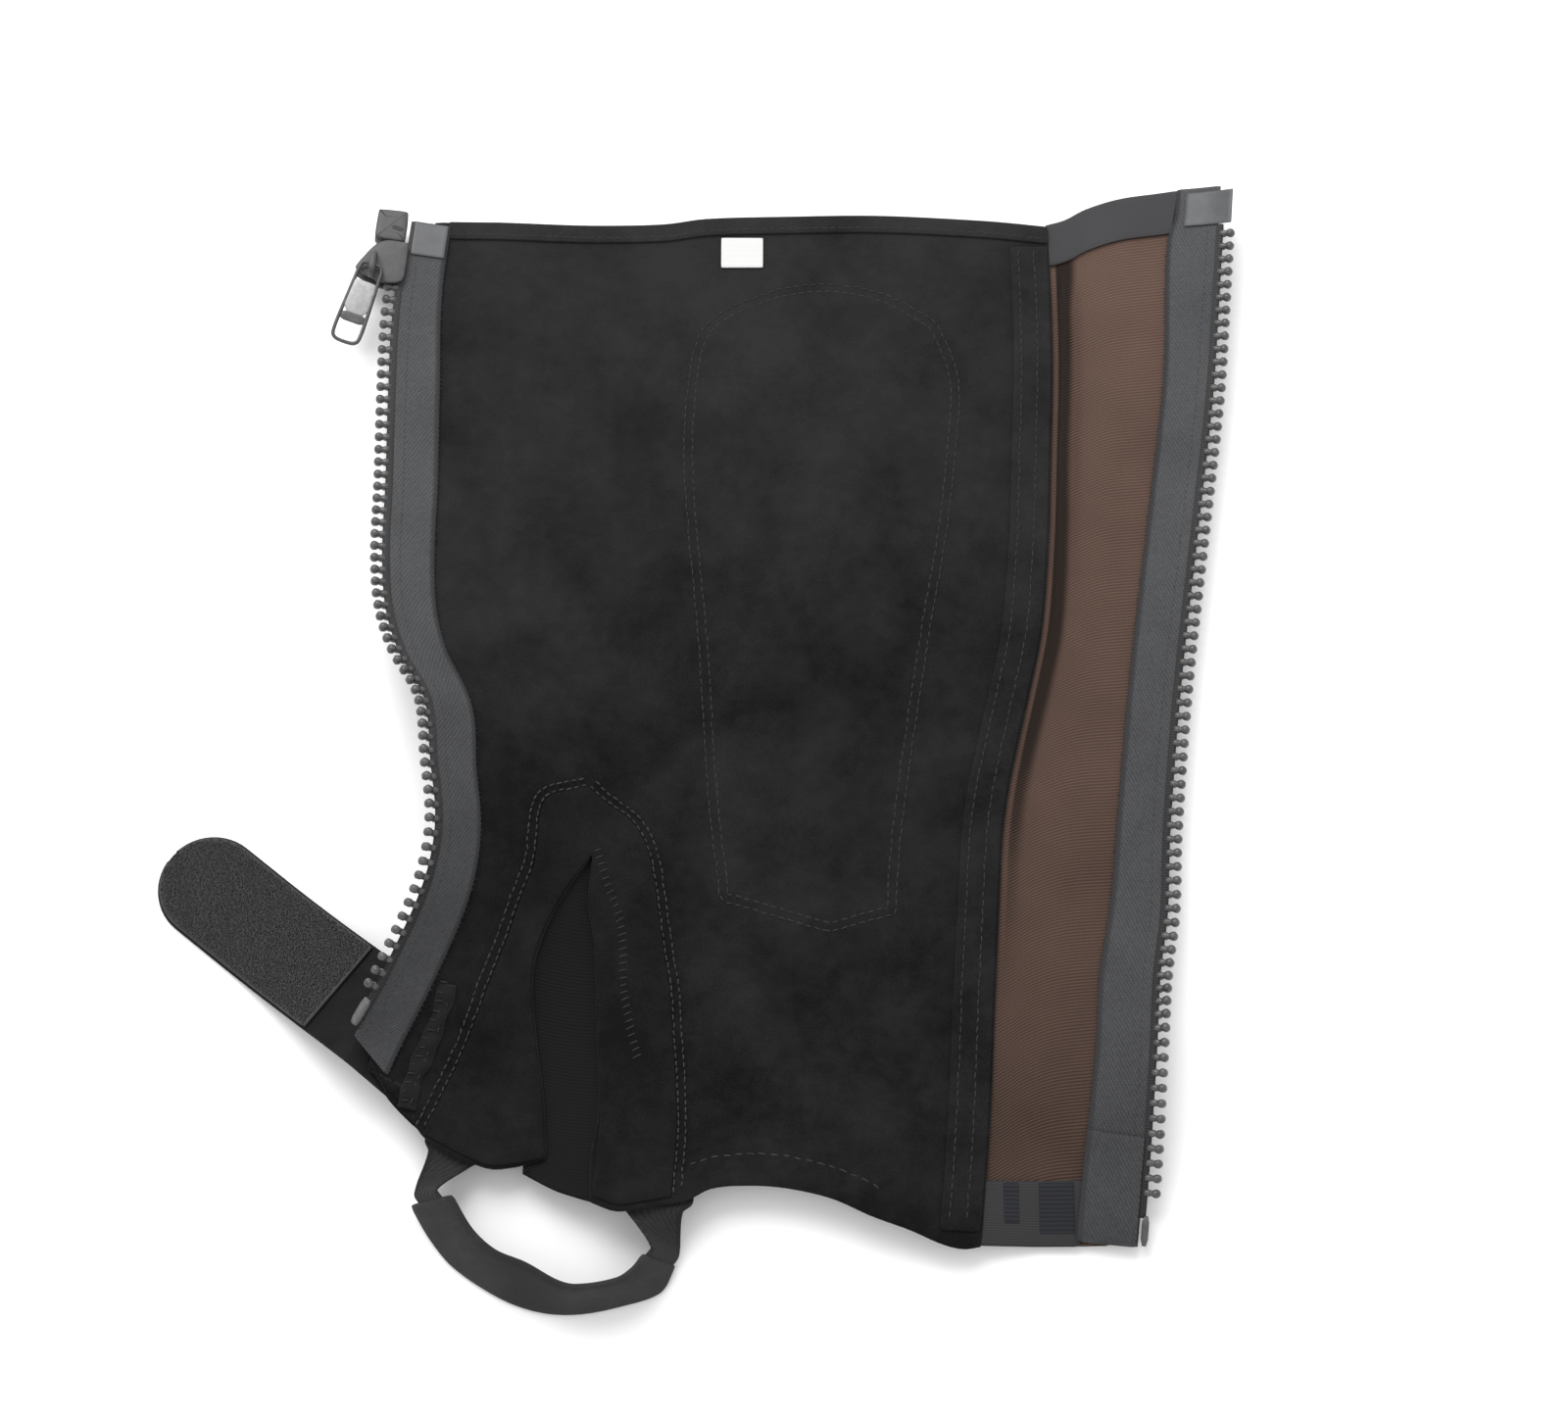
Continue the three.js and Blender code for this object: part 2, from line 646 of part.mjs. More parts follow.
function elasticOutline() {
  const inner = elasticRear.map((p) => p.clone());
  const start = xOf(seamSide(0)) - seamLap;
  inner[0].y = elasticTopY(inner[0].x);
  const top = range(start, inner[0].x, 8).slice(0, -1).map((x) => new THREE.Vector2(x, elasticTopY(x)));
  top[0].y = Math.min(top[0].y, topY(seamSide(0)));
  const seam = range(seamRange.top, rearTapeEnd, 18)
    .map((down) => new THREE.Vector2(xOf(seamSide(down)) - seamLap, yOf(down)));
  return [...top, ...inner, ...seam.reverse()];
}

function pleatOutline() {
  const downs = range(pleatStart, pleatEnd, 9);
  const full = pleatWidth / 2;
  const line = (sign) => downs.map((down, i) => {
    const taper = Math.sqrt(Math.sin((Math.PI * (i + 0.5)) / (downs.length)));
    return new THREE.Vector2(xOf(seamSide(down)) + pleatOffset + sign * full * taper, yOf(down));
  });
  return [...line(-1), ...line(1).reverse()];
}

// Bands lie on the elastic between the suede's edge and the tape
function elasticBandOutline(lower, upper) {
  const suedeSide = (y) => xOf(seamSide(downOf(y))) + touchGap;
  const tapeSide = (y) => {
    const below = Math.max(rearTapeInner.findIndex((p) => p.y < y), 1);
    const a = rearTapeInner[below - 1];
    const b = rearTapeInner[below];
    return a.x + ((b.x - a.x) * (y - a.y)) / (b.y - a.y) - touchGap;
  };
  const along = (edge) => {
    const start = suedeSide(edge(xOf(seamSide(0))));
    const end = tapeSide(edge(tapeSide(edge(start))));
    return range(start, end, 6).map((x) => new THREE.Vector2(x, edge(x)));
  };
  return [...along(upper), ...along(lower).reverse()];
}

// The gusset's lower edge, in shares of chapHeight, and its lowest point's share of halfWidth
const gussetBottom = { front: 0.935, middle: 0.955, rear: 0.966, middleSide: -0.56 };
function gussetElasticOutline() {
  const front = gussetMouth.map((row) => new THREE.Vector2(xOf(row.front) - seamLap, yOf(row.down)));
  const rear = gussetMouth.map((row) => new THREE.Vector2(xOf(row.rear) + seamLap, yOf(row.down)));
  front[0].y += seamLap;
  rear[0].y += seamLap;
  front[front.length - 1].y = yOf(gussetBottom.front);
  rear[rear.length - 1].y = yOf(gussetBottom.rear);
  return [...rear, spot(gussetBottom.middleSide, gussetBottom.middle), ...front.reverse()];
}

const facingBottomRear = [
  { side: -0.340, down: 0.958 },
  { side: -0.400, down: 0.962 },
  { side: -0.455, down: 0.965 },
  { side: -0.508, down: 0.957 },
];
const facingJoin = touchGap / 2;   // half the slit where the two strips meet above the gusset
const facingInset = 0.5;           // from the gusset's mouth
const facingLift = 0.002;          // from the suede's lower edge, a share of chapHeight
const facingEnds = {
  front: { outer: 0.89, inner: 0.925 },
  rear: { outer: 0.95, inner: 0.95 },
};

function gussetFacingOutline(which) {
  const front = which === "front";
  const sign = front ? -1 : 1;
  const ends = facingEnds[which];
  const outer = gussetFacing
    .filter((row) => row.down < ends.outer)
    .map((row) => spot(row[which], row.down));
  outer[0].x = xOf((gussetFacing[0].front + gussetFacing[0].rear) / 2) + sign * facingJoin;
  const inner = gussetMouth
    .filter((row) => row.down < ends.inner)
    .map((row) => new THREE.Vector2(xOf(row[which]) + sign * facingInset, yOf(row.down)));
  inner[0].x = xOf((gussetMouth[0].front + gussetMouth[0].rear) / 2) + sign * facingJoin;
  const bottom = front
    ? ankleCorner.slice(1, 4).map((row) => spot(row.side, row.down - facingLift)).reverse()
    : facingBottomRear.map((row) => spot(row.side, row.down));
  return [...outer, ...bottom, ...inner.reverse()];
}

function tapeOutline(roots, inner) {
  return [...roots, ...[...inner].reverse()];
}

// The part of a tape between two shares of its length, set in from its two edges
function tapePatch(edge, fromDown, length, width, inset) {
  const downs = range(fromDown, fromDown + length / chapHeight, 4);
  const outer = insideLine(edge, inset, downs);
  const inner = insideLine(edge, inset + width, downs);
  return [...outer, ...inner.reverse()];
}

const labelSide = -0.191;
function labelOutline() {
  const left = xOf(labelSide) - labelWidth / 2;
  const lowest = Math.min(...range(left, left + labelWidth, 4).map((x) => topY(x / halfWidth)));
  const top = lowest - hemWidth - 2 * touchGap;
  return [
    new THREE.Vector2(left, top),
    new THREE.Vector2(left + labelWidth, top),
    new THREE.Vector2(left + labelWidth, top - labelHeight),
    new THREE.Vector2(left, top - labelHeight),
  ];
}

// Hook strap: its own height function never rises into the suede above it
const hookTurn = THREE.MathUtils.degToRad(hookStrapTurn);
const hookAxis = new THREE.Vector2(Math.cos(hookTurn), Math.sin(hookTurn));
const hookCross = new THREE.Vector2(-hookAxis.y, hookAxis.x);
const hookTip = spot(hookEndSide, hookEndDown).addScaledVector(hookAxis, -hookStrapLength);
const hookBlend = 1.2;             // how softly the strap bends away under the suede
const hookClear = 0.6;
const hookRounding = 0.8;          // 1 would be a half circle, 0 a square end
function hookLay(x, y) {
  const along = ((x - hookTip.x) * hookAxis.x + (y - hookTip.y) * hookAxis.y) / hookStrapLength;
  const own = hookStrapRise * hookRise(along);
  const under = lay(x, y) + suedeLow - touchGap - hookStrapWall - hookClear;
  const near = Math.exp(-Math.abs(own - under) / hookBlend);
  return Math.max(0, Math.min(own, under) + hookBlend * (Math.log(2) * near - Math.log1p(near)));
}

function hookOutline(length, inset) {
  const half = hookStrapWidth / 2 - inset;
  const point = (along, across) => hookTip.clone()
    .addScaledVector(hookAxis, along)
    .addScaledVector(hookCross, across);
  const arc = range(-90, 90, 10).map((deg) => {
    const a = THREE.MathUtils.degToRad(deg);
    return point(inset + half * hookRounding * (1 - Math.cos(a)), half * Math.sin(a));
  });
  return [...arc.reverse(), point(length, -half), point(length, half)];
}

// Stirrup: a ribbon between two long edges, with a square section of its own wall
function ribbon(rows, wall, steps) {
  const outer = new THREE.CatmullRomCurve3(rows.map((row) => row.outer), false, "centripetal");
  const inner = new THREE.CatmullRomCurve3(rows.map((row) => row.inner), false, "centripetal");
  const rings = range(0, 1, steps).map((t) => {
    const a = outer.getPoint(t);
    const b = inner.getPoint(t);
    const tangent = outer.getTangent(t).add(inner.getTangent(t)).normalize();
    const across = b.clone().sub(a).normalize();
    const face = new THREE.Vector3().crossVectors(tangent, across).normalize().multiplyScalar(wall / 2);
    const middle = a.clone().add(b).multiplyScalar(0.5);
    return [
      a.clone().add(face), middle.clone().add(face), b.clone().add(face),
      b.clone().sub(face), middle.clone().sub(face), a.clone().sub(face),
    ];
  });
  const geometry = ringsToGeometry(rings);
  return toSolid(geometry).volume() < 0 ? flipped(geometry) : geometry;
}

function flipped(geometry) {
  const index = geometry.index.array;
  for (let i = 0; i < index.length; i += 3) [index[i], index[i + 1]] = [index[i + 1], index[i]];
  return geometry;
}

const stirrupStart = spot(stirrupStartSide, stirrupStartDown);
const stirrupPoint = (x, y, z) => new THREE.Vector3(
  stirrupStart.x + stirrupReach * x,
  stirrupStart.y + stirrupReach * y,
  z,
);
const stirrupEdges = stirrupRows.map((row) => ({
  outer: stirrupPoint(row.outerX, row.outerY, stirrupWall / 2 + stirrupStand * row.outerZ),
  inner: stirrupPoint(row.innerX, row.innerY, stirrupStand * row.innerZ),
}));

// An end strip from the foot strap's end up to the underside of the suede. It is narrow at its neck, where
// it leaves the strap, and spreads out to its full width as it comes under the suede.
const stirrupEndStart = 0.5;
const stirrupEndSink = 0.35;
const stirrupEndSteps = 14;
const stirrupSteps = 20;
const stirrupEndRows = [
  { along: -0.25, drop: 1.2, spread: 0.75 },
  { along: 0.0, drop: 0.4, spread: 1.0 },
  { along: 0.5, drop: 0.0, spread: 1.0 },
  { along: 1.0, drop: 0.0, spread: 1.0 },
];
function stirrupEnd(which) {
  const { side, down, turn, width, neck } = stirrupEnds[which];
  const root = spot(side, down);
  const angle = THREE.MathUtils.degToRad(90 - turn);
  const toward = new THREE.Vector2(Math.cos(angle), Math.sin(angle));
  const cross = new THREE.Vector2(-toward.y, toward.x);
  const edges = which === "front" ? stirrupEdges : [...stirrupEdges].reverse();
  const [first, second] = edges;
  const away = first.outer.clone().add(first.inner).sub(second.outer).sub(second.inner).normalize();
  const middle = first.outer.clone().add(first.inner).multiplyScalar(0.5);
  const sunk = suedeLow - touchGap - stirrupEndWall / 2 - stirrupEndSink;
  const strapAcross = new THREE.Vector2(first.outer.x - first.inner.x, first.outer.y - first.inner.y);
  const outward = Math.sign(cross.dot(strapAcross));
  const nearStrap = (corner, reach) => middle.clone().lerp(corner, neck).addScaledVector(away, reach);
  const underSuede = (row, sign) => {
    const p = root.clone().addScaledVector(toward, stirrupEndCover * row.along)
      .addScaledVector(cross, (sign * row.spread * width) / 2);
    return new THREE.Vector3(p.x, p.y, lay(p.x, p.y) + sunk - row.drop);
  };
  const rows = [
    ...[stirrupEndStart, stirrupEndLead].map((reach) => ({
      outer: nearStrap(first.outer, reach),
      inner: nearStrap(first.inner, reach),
    })),
    ...stirrupEndRows.map((row) => ({
      outer: underSuede(row, outward),
      inner: underSuede(row, -outward),
    })),
  ];
  return ribbon(rows, stirrupEndWall, stirrupEndSteps);
}

// Teeth: a bead along the tape's edge with one tooth for each pitch, fused into one closed mesh
const toothSamples = 240;
function toothRow(edge, fromDown, toDown) {
  const samples = range(fromDown, toDown, toothSamples);
  const lengths = [0];
  for (let i = 1; i < samples.length; i += 1) {
    const a = edgeFrame(edge, samples[i - 1]).point;
    const b = edgeFrame(edge, samples[i]).point;
    lengths.push(lengths[i - 1] + a.distanceTo(b));
  }
  const total = lengths[lengths.length - 1];
  const downAt = (s) => {
    let i = 1;
    while (i < lengths.length - 1 && lengths[i] < s) i += 1;
    const share = (s - lengths[i - 1]) / (lengths[i] - lengths[i - 1]);
    return samples[i - 1] + (samples[i] - samples[i - 1]) * share;
  };
  const count = Math.floor(total / toothPitch);
  const stations = [0];
  for (let k = 0; k < count; k += 1) {
    const middle = (k + 0.5) * toothPitch;
    stations.push(middle - toothWidth / 2, middle + toothWidth / 2);
  }
  stations.push(count * toothPitch);
  const positions = [];
  const index = [];
  const perStation = 6;
  for (const s of stations) {
    const f = edgeFrame(edge, downAt(s));
    const put = (out, up) => {
      const p = f.point.clone().addScaledVector(f.out, out).addScaledVector(f.up, up);
      positions.push(p.x, p.y, p.z);
    };
    for (const up of [-1, 1]) {
      put(touchGap, (up * toothWall) / 2);
      put(touchGap + beadWidth, (up * toothWall) / 2);
      put(touchGap + toothLength, (up * toothWall * toothTaper) / 2);
    }
  }
  const at = (i, out, up) => i * perStation + (up > 0 ? 3 : 0) + out;
  const quad = (a, b, c, d) => index.push(a, b, c, a, c, d);
  for (let i = 0; i + 1 < stations.length; i += 1) {
    const tooth = i % 2 === 1;
    const wide = tooth ? 2 : 1;
    for (let out = 0; out < wide; out += 1) {
      quad(at(i, out, 1), at(i, out + 1, 1), at(i + 1, out + 1, 1), at(i + 1, out, 1));
      quad(at(i, out, -1), at(i + 1, out, -1), at(i + 1, out + 1, -1), at(i, out + 1, -1));
    }
    quad(at(i, 0, -1), at(i, 0, 1), at(i + 1, 0, 1), at(i + 1, 0, -1));
    quad(at(i, wide, 1), at(i, wide, -1), at(i + 1, wide, -1), at(i + 1, wide, 1));
    if (tooth) {
      quad(at(i, 1, 1), at(i, 1, -1), at(i, 2, -1), at(i, 2, 1));
      quad(at(i + 1, 1, -1), at(i + 1, 1, 1), at(i + 1, 2, 1), at(i + 1, 2, -1));
    }
  }
  const end = stations.length - 1;
  quad(at(0, 0, 1), at(0, 0, -1), at(0, 1, -1), at(0, 1, 1));
  quad(at(end, 0, -1), at(end, 0, 1), at(end, 1, 1), at(end, 1, -1));
  const geometry = new THREE.BufferGeometry();
  geometry.setAttribute("position", new THREE.BufferAttribute(new Float32Array(positions), 3));
  geometry.setIndex(index);
  return edge === "front" ? geometry : flipped(geometry);
}

// A frame's own axes for hard parts: y runs up the zip, z stands off the tape, and x is square to both
function frameMatrix(frame) {
  const yAxis = frame.along.clone().negate();
  const zAxis = frame.up.clone();
  const xAxis = new THREE.Vector3().crossVectors(yAxis, zAxis).normalize();
  return new THREE.Matrix4().makeBasis(xAxis, yAxis, zAxis).setPosition(frame.point);
}

function block(width, length, height, x, y, z) {
  const geometry = new THREE.BoxGeometry(width, length, height);
  geometry.translate(x, y, z);
  return toSolid(geometry);
}

// A plate over a plan outline, from one height to another
function plate(points, height, z) {
  const geometry = new THREE.ExtrudeGeometry(new THREE.Shape(points), { depth: height, bevelEnabled: false });
  geometry.translate(0, 0, z);
  return toSolid(geometry);
}

const channelHalf = toothWall / 2 + sliderRoom;
const sliderTop = channelHalf + sliderPlate;
const weld = 0.2;                  // how far one form of a casting runs into the next

// A flange under one side of the slider's outline, turned inward by its own width
function flange([from, to], outline, height, z) {
  const a = outline[from];
  const b = outline[to];
  const inward = new THREE.Vector2(a.y - b.y, b.x - a.x).normalize();
  if (inward.dot(a) > 0) inward.negate();
  const moved = (p) => p.clone().addScaledVector(inward, sliderFlange);
  return plate([a, b, moved(b), moved(a)], height, z);
}

function sliderGeometry() {
  const outline = sliderOutline.map((row) => new THREE.Vector2(
    (sliderWidth / 2) * row.across,
    (sliderLength / 2) * row.along,
  ));
  const postY = -sliderLength / 2 + sliderPostInset + sliderPostLength / 2;
  let slider = plate(outline, sliderPlate, channelHalf)
    .add(plate(outline, sliderPlate, -sliderTop))
    .add(block(sliderPost, sliderPostLength, 2 * (channelHalf + weld), 0, postY, 0));
  const slotHalf = tapeWall / 2 + sliderRoom;
  const flangeHeight = channelHalf - slotHalf + weld;
  for (const side of [sliderTapeSide, sliderOuterSide]) {
    slider = slider.add(flange(side, outline, flangeHeight, slotHalf))
      .add(flange(side, outline, flangeHeight, -slotHalf - flangeHeight));
  }
  return toGeometry(slider.add(bailSolid()));
}

// The bail is an arch over the slider's top plate that the pull hangs from
function bailSolid() {
  const half = bailLength / 2;
  const top = sliderTop + bailHeight;
  const foot = half - bailBar - bailSplay / 2;
  const head = half - bailBar - bailSplay;
  const shape = new THREE.Shape([
    new THREE.Vector2(-half, sliderTop - weld),
    new THREE.Vector2(half, sliderTop - weld),
    new THREE.Vector2(half - bailSplay, top),
    new THREE.Vector2(-half + bailSplay, top),
  ]);
  shape.holes.push(new THREE.Path([
    new THREE.Vector2(-foot, sliderTop),
    new THREE.Vector2(-head, top - bailBar),
    new THREE.Vector2(head, top - bailBar),
    new THREE.Vector2(foot, sliderTop),
  ]));
  const arch = new THREE.ExtrudeGeometry(shape, { depth: bailWidth, bevelEnabled: false });
  arch.translate(0, 0, -bailWidth / 2);
  arch.rotateX(Math.PI / 2);
  arch.rotateZ(Math.PI / 2);
  arch.translate(bailSide, -bailShift, 0);
  return toSolid(arch);
}

// The pull lies along -y from its bar, with its flat faces square to z. It widens toward its far end.
function pullGeometry() {
  const end = -pullNeck - pullLength;
  const start = pullStartWidth / 2;
  const far = pullEndWidth / 2;
  const body = plate([
    new THREE.Vector2(-start, -pullNeck),
    new THREE.Vector2(-far, end + pullCorner),
    new THREE.Vector2(-far + pullCorner / 3, end + pullCorner / 3),
    new THREE.Vector2(-far + pullCorner, end),
    new THREE.Vector2(far - pullCorner, end),
    new THREE.Vector2(far - pullCorner / 3, end + pullCorner / 3),
    new THREE.Vector2(far, end + pullCorner),
    new THREE.Vector2(start, -pullNeck),
  ], pullWall, -pullWall / 2);
  const neckWidth = bailWidth + bailPlay + 2 * pullArm;
  const neckLength = pullBar / 2 + pullNeck + pullNeckLap;
  const neck = block(neckWidth, neckLength, pullWall, 0, pullBar / 2 - neckLength / 2, 0);
  const windowLength = pullNeck - pullBar / 2;
  const cut = 2 * pullWall;
  const window = block(bailWidth + bailPlay, windowLength, cut, 0, -pullBar / 2 - windowLength / 2, 0);
  const hole = block(pullHoleWidth, pullHoleLength, cut, 0, end + pullRim + pullHoleLength / 2, 0);
  return toGeometry(body.add(neck).subtract(window).subtract(hole));
}

// Materials, with colours as the eye sees them
function material(color, roughness, metalness = 0) {
  return new THREE.MeshStandardMaterial({ color, roughness, metalness });
}
const suede = material(0x2a2a2a, 0.95);
const suedeTurned = material(0x343434, 0.95);
const elasticBrown = material(0x6c5246, 0.8);
const elasticBlack = material(0x1b1b1d, 0.85);
const tapeCloth = material(0x4c4c4f, 0.85);
const toothPlastic = material(0x2e2e30, 0.5);
const gunmetal = material(0x5d5f61, 0.35, 0.9);
const filmClear = material(0x73767d, 0.25);
const labelCloth = material(0xe1e1e1, 0.8);
const hookPile = material(0x3e3c40, 0.9);

const chap = new THREE.Group();
const placed = new THREE.Group();
chap.add(placed);

function piece(name, geometry, finish) {
  const flat = geometry.index ? geometry : mergeVertices(geometry);
  flat.computeVertexNormals();
  const mesh = new THREE.Mesh(flat, finish);
  mesh.name = name;
  placed.add(mesh);
  return mesh;
}

// Soft pieces
piece("calf_patch", drape(patchPoints(), lay, 0, patchWall), suede);
piece("suede_panel", drape(suedeOutline(), lay, suedeLow, suedeHigh), suede);
piece("top_hem", drape(hemOutline(), lay, facingLow, facingHigh), suedeTurned);
piece("rear_facing", drape(rearFacingOutline(), lay, facingLow, facingHigh), suedeTurned);
piece("gusset_elastic", drape(gussetElasticOutline(), lay, 0, gussetElasticWall), elasticBlack);
for (const which of ["front", "rear"]) {
  piece(`gusset_facing_${which}`, drape(gussetFacingOutline(which), lay, facingLow, facingHigh), suedeTurned);
}
piece("size_label", drape(labelOutline(), lay, facingLow, facingLow + labelWall), labelCloth);

// The long pleat stands up beside the seam and is one piece with the elastic
const pleatSink = 0.4;
const elasticSolid = drapeSolid(elasticOutline(), lay, 0, elasticWall)
  .add(drapeSolid(pleatOutline(), lay, elasticWall - pleatSink, elasticWall + pleatHeight));
piece("elastic_panel", toGeometry(elasticSolid), elasticBrown);
const topBand = elasticBandOutline((x) => elasticTopY(x) - topBandWidth, elasticTopY);
const bottomBand = elasticBandOutline(() => yOf(rearTapeEnd), () => yOf(rearTapeEnd) + bottomBandWidth);
piece("elastic_top_band", drape(topBand, lay, rearTapeLow, rearTapeLow + bandWall), elasticBlack);
piece("elastic_bottom_band", drape(bottomBand, lay, rearTapeLow, rearTapeLow + bandWall), elasticBlack);

// Zip cloth
const filmStart = 0.001;
const filmFrontWidth = tapeWidth * (1 + spreadOf.front(edgeTop)) - filmFrontInset - touchGap;
const frontTape = tapeOutline(frontRoots, frontTapeInner);
const rearTape = tapeOutline(rearRoots, rearTapeInner);
const frontFilm = tapePatch("front", edgeTop + filmStart, filmLength, filmFrontWidth, filmFrontInset);
const rearFilm = tapePatch("rear", rearTapeTop + filmStart, filmLength, filmRearWidth, filmRearInset);
const rearTab = tapePatch("rear", rearTapeEnd - tabLength / chapHeight, tabLength, tabWidth, tabInset);
const frontFilmLow = frontTapeHigh + touchGap;
const rearFilmLow = rearTapeHigh + touchGap;
piece("zip_tape_front", drape(frontTape, lay, facingLow, frontTapeHigh), tapeCloth);
piece("zip_tape_rear", drape(rearTape, lay, rearTapeLow, rearTapeHigh), tapeCloth);
piece("zip_film_front", drape(frontFilm, lay, frontFilmLow, frontFilmLow + filmWall), filmClear);
piece("zip_film_rear", drape(rearFilm, lay, rearFilmLow, rearFilmLow + filmWall), filmClear);
piece("zip_tab_rear", drape(rearTab, lay, rearFilmLow, rearFilmLow + tapeWall), tapeCloth);

// Teeth
const stopRoom = 1.2;              // from the last tooth to the stop
const teethInSlider = 0.2;         // how far above the slider's middle the row starts, a share of its length
const frontTeethStart = sliderDown - (sliderLength * teethInSlider) / chapHeight;
const frontTeethEnd = 0.781;
const rearTeethStart = rearTapeTop + filmStart + (filmLength + stopRoom) / chapHeight;
const rearTeethEnd = rearTapeEnd - (stopLength + stopRoom) / chapHeight;
piece("zip_teeth_front", toothRow("front", frontTeethStart, frontTeethEnd), toothPlastic);
piece("zip_teeth_rear", toothRow("rear", rearTeethStart, rearTeethEnd), toothPlastic);

// Hard zip parts
function placeAt(name, geometry, frame, finish) {
  const solid = piece(name, geometry, finish);
  solid.applyMatrix4(frameMatrix(frame));
  return solid;
}
function shiftedFrame(edge, down, out) {
  const frame = edgeFrame(edge, down);
  frame.point.addScaledVector(frame.out, out);
  return frame;
}
const sliderFrame = shiftedFrame("front", sliderDown, meshHalf);
placeAt("zip_slider", sliderGeometry(), sliderFrame, gunmetal);

const boxDown = sliderDown - (sliderLength / 2 + boxLength / 2 + touchGap) / chapHeight;
placeAt("zip_box", toGeometry(block(boxWidth, boxLength, boxHeight, 0, 0, 0)),
  shiftedFrame("front", boxDown, touchGap + boxWidth / 2), gunmetal);

const stop = toGeometry(block(stopWidth, stopLength, stopHeight, 0, 0, 0));
const stopOut = touchGap + stopWidth / 2;
placeAt("zip_stop_front", stop.clone(),
  shiftedFrame("front", frontTeethEnd + (stopLength / 2 + stopRoom) / chapHeight, stopOut), filmClear);
placeAt("zip_stop_rear", stop.clone(),
  shiftedFrame("rear", rearTapeEnd - (stopLength / 2) / chapHeight, stopOut), toothPlastic);

// The pull hangs on its bar inside the bail, near the bail's lower end
const barHeight = sliderTop + sliderRoom + (bailHeight - bailBar) / 2;
const barPoint = sliderFrame.point.clone()
  .addScaledVector(sliderFrame.up, barHeight)
  .addScaledVector(sliderFrame.out, -bailSide)
  .addScaledVector(sliderFrame.along, bailShift + bailLength / 2 - bailBar - barSeat);
const pull = piece("zip_pull", pullGeometry(), gunmetal);
const pullMatrix = frameMatrix(sliderFrame)
  .multiply(new THREE.Matrix4().makeRotationZ(THREE.MathUtils.degToRad(-pullTurn)))
  .multiply(new THREE.Matrix4().makeRotationX(THREE.MathUtils.degToRad(pullDroop)));
pull.applyMatrix4(pullMatrix.setPosition(barPoint));

// Hook strap and pad
piece("hook_strap", drape(hookOutline(hookStrapLength, 0), hookLay, 0, hookStrapWall), suede);
const hookPadLow = hookStrapWall + touchGap;
const hookPadPoints = hookOutline(hookPadLength, hookPadInset);
piece("hook_pad", drape(hookPadPoints, hookLay, hookPadLow, hookPadLow + hookPadWall), hookPile);

// Stirrup
piece("stirrup_strap", ribbon(stirrupEdges, stirrupWall, stirrupSteps), suedeTurned);
for (const which of ["front", "rear"]) {
  piece(`stirrup_end_${which}`, stirrupEnd(which), elasticBlack);
}

// The origin is the middle of the lowest plane of the whole chap
chap.updateMatrixWorld(true);
const whole = new THREE.Box3().setFromObject(chap, true);
placed.position.set(-(whole.min.x + whole.max.x) / 2, -(whole.min.y + whole.max.y) / 2, -whole.min.z);
chap.updateMatrixWorld(true);

export default chap;
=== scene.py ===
# %% [markdown]
# # A suede half chap, opened flat
# The real thing is a riding gaiter: suede with a stretch panel, two halves of a zip along its sides,
# a strap that goes under the boot and a hook strap that closes the ankle. It lies open with its inner
# side up. Every cloth piece here is one surface worked out with numpy over the same curled ground, so
# the layers stay a hair apart everywhere and nothing has to be fitted by eye.

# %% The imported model
import math
import bpy
import numpy as np
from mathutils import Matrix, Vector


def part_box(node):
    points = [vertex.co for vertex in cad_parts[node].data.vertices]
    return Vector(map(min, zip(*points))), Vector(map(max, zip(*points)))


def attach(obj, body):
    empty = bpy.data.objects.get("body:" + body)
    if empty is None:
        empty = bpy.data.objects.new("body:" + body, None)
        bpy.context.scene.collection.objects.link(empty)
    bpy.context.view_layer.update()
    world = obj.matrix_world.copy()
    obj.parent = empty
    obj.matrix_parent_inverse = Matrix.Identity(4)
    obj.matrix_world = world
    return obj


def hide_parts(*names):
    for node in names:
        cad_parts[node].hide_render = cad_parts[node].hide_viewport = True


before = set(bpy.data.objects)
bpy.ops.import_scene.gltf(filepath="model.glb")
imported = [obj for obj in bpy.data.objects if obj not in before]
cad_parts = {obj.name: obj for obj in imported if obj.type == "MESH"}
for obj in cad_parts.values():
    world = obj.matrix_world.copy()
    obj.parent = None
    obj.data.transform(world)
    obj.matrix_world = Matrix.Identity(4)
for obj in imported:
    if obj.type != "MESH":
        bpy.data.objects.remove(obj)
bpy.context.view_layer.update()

# %% [markdown]
# The sizes come first, in millimetres. The lines along which the chap was cut are tables: `down` is a
# share of its height from the top, `side` a share of its half width from the middle line.

# %% Sizes and lines
HEIGHT = 344.0
HALF = 136.5
GAP = 0.3
ANKLE_RISE, ANKLE_CURL = 41.0, 72.0
REAR_RISE, REAR_CURL = 18.0, 50.0
TAPE, LAP, HEM, STRIP = 15.2, 6.0, 5.5, 12.0
UNDER_TOP = 1.2
SUEDE_LOW, SUEDE_HIGH = 1.5, 2.9
STRIP_LOW = 3.2
EDGE_LOW, EDGE_HIGH = 2.95, 3.8     # turned edges are skived thin, so they hardly stand off the suede
FRONT_TAPE_HIGH, REAR_TAPE_LOW, REAR_TAPE_HIGH = 4.2, 1.5, 2.5
FRONT_MID, REAR_MID = 3.7, 2.0
SLIT_SIDE, SLIT_DOWN = -0.527, 0.641    # the gusset slit's point
REAR_END = 0.996                        # where the elastic and the rear tape end

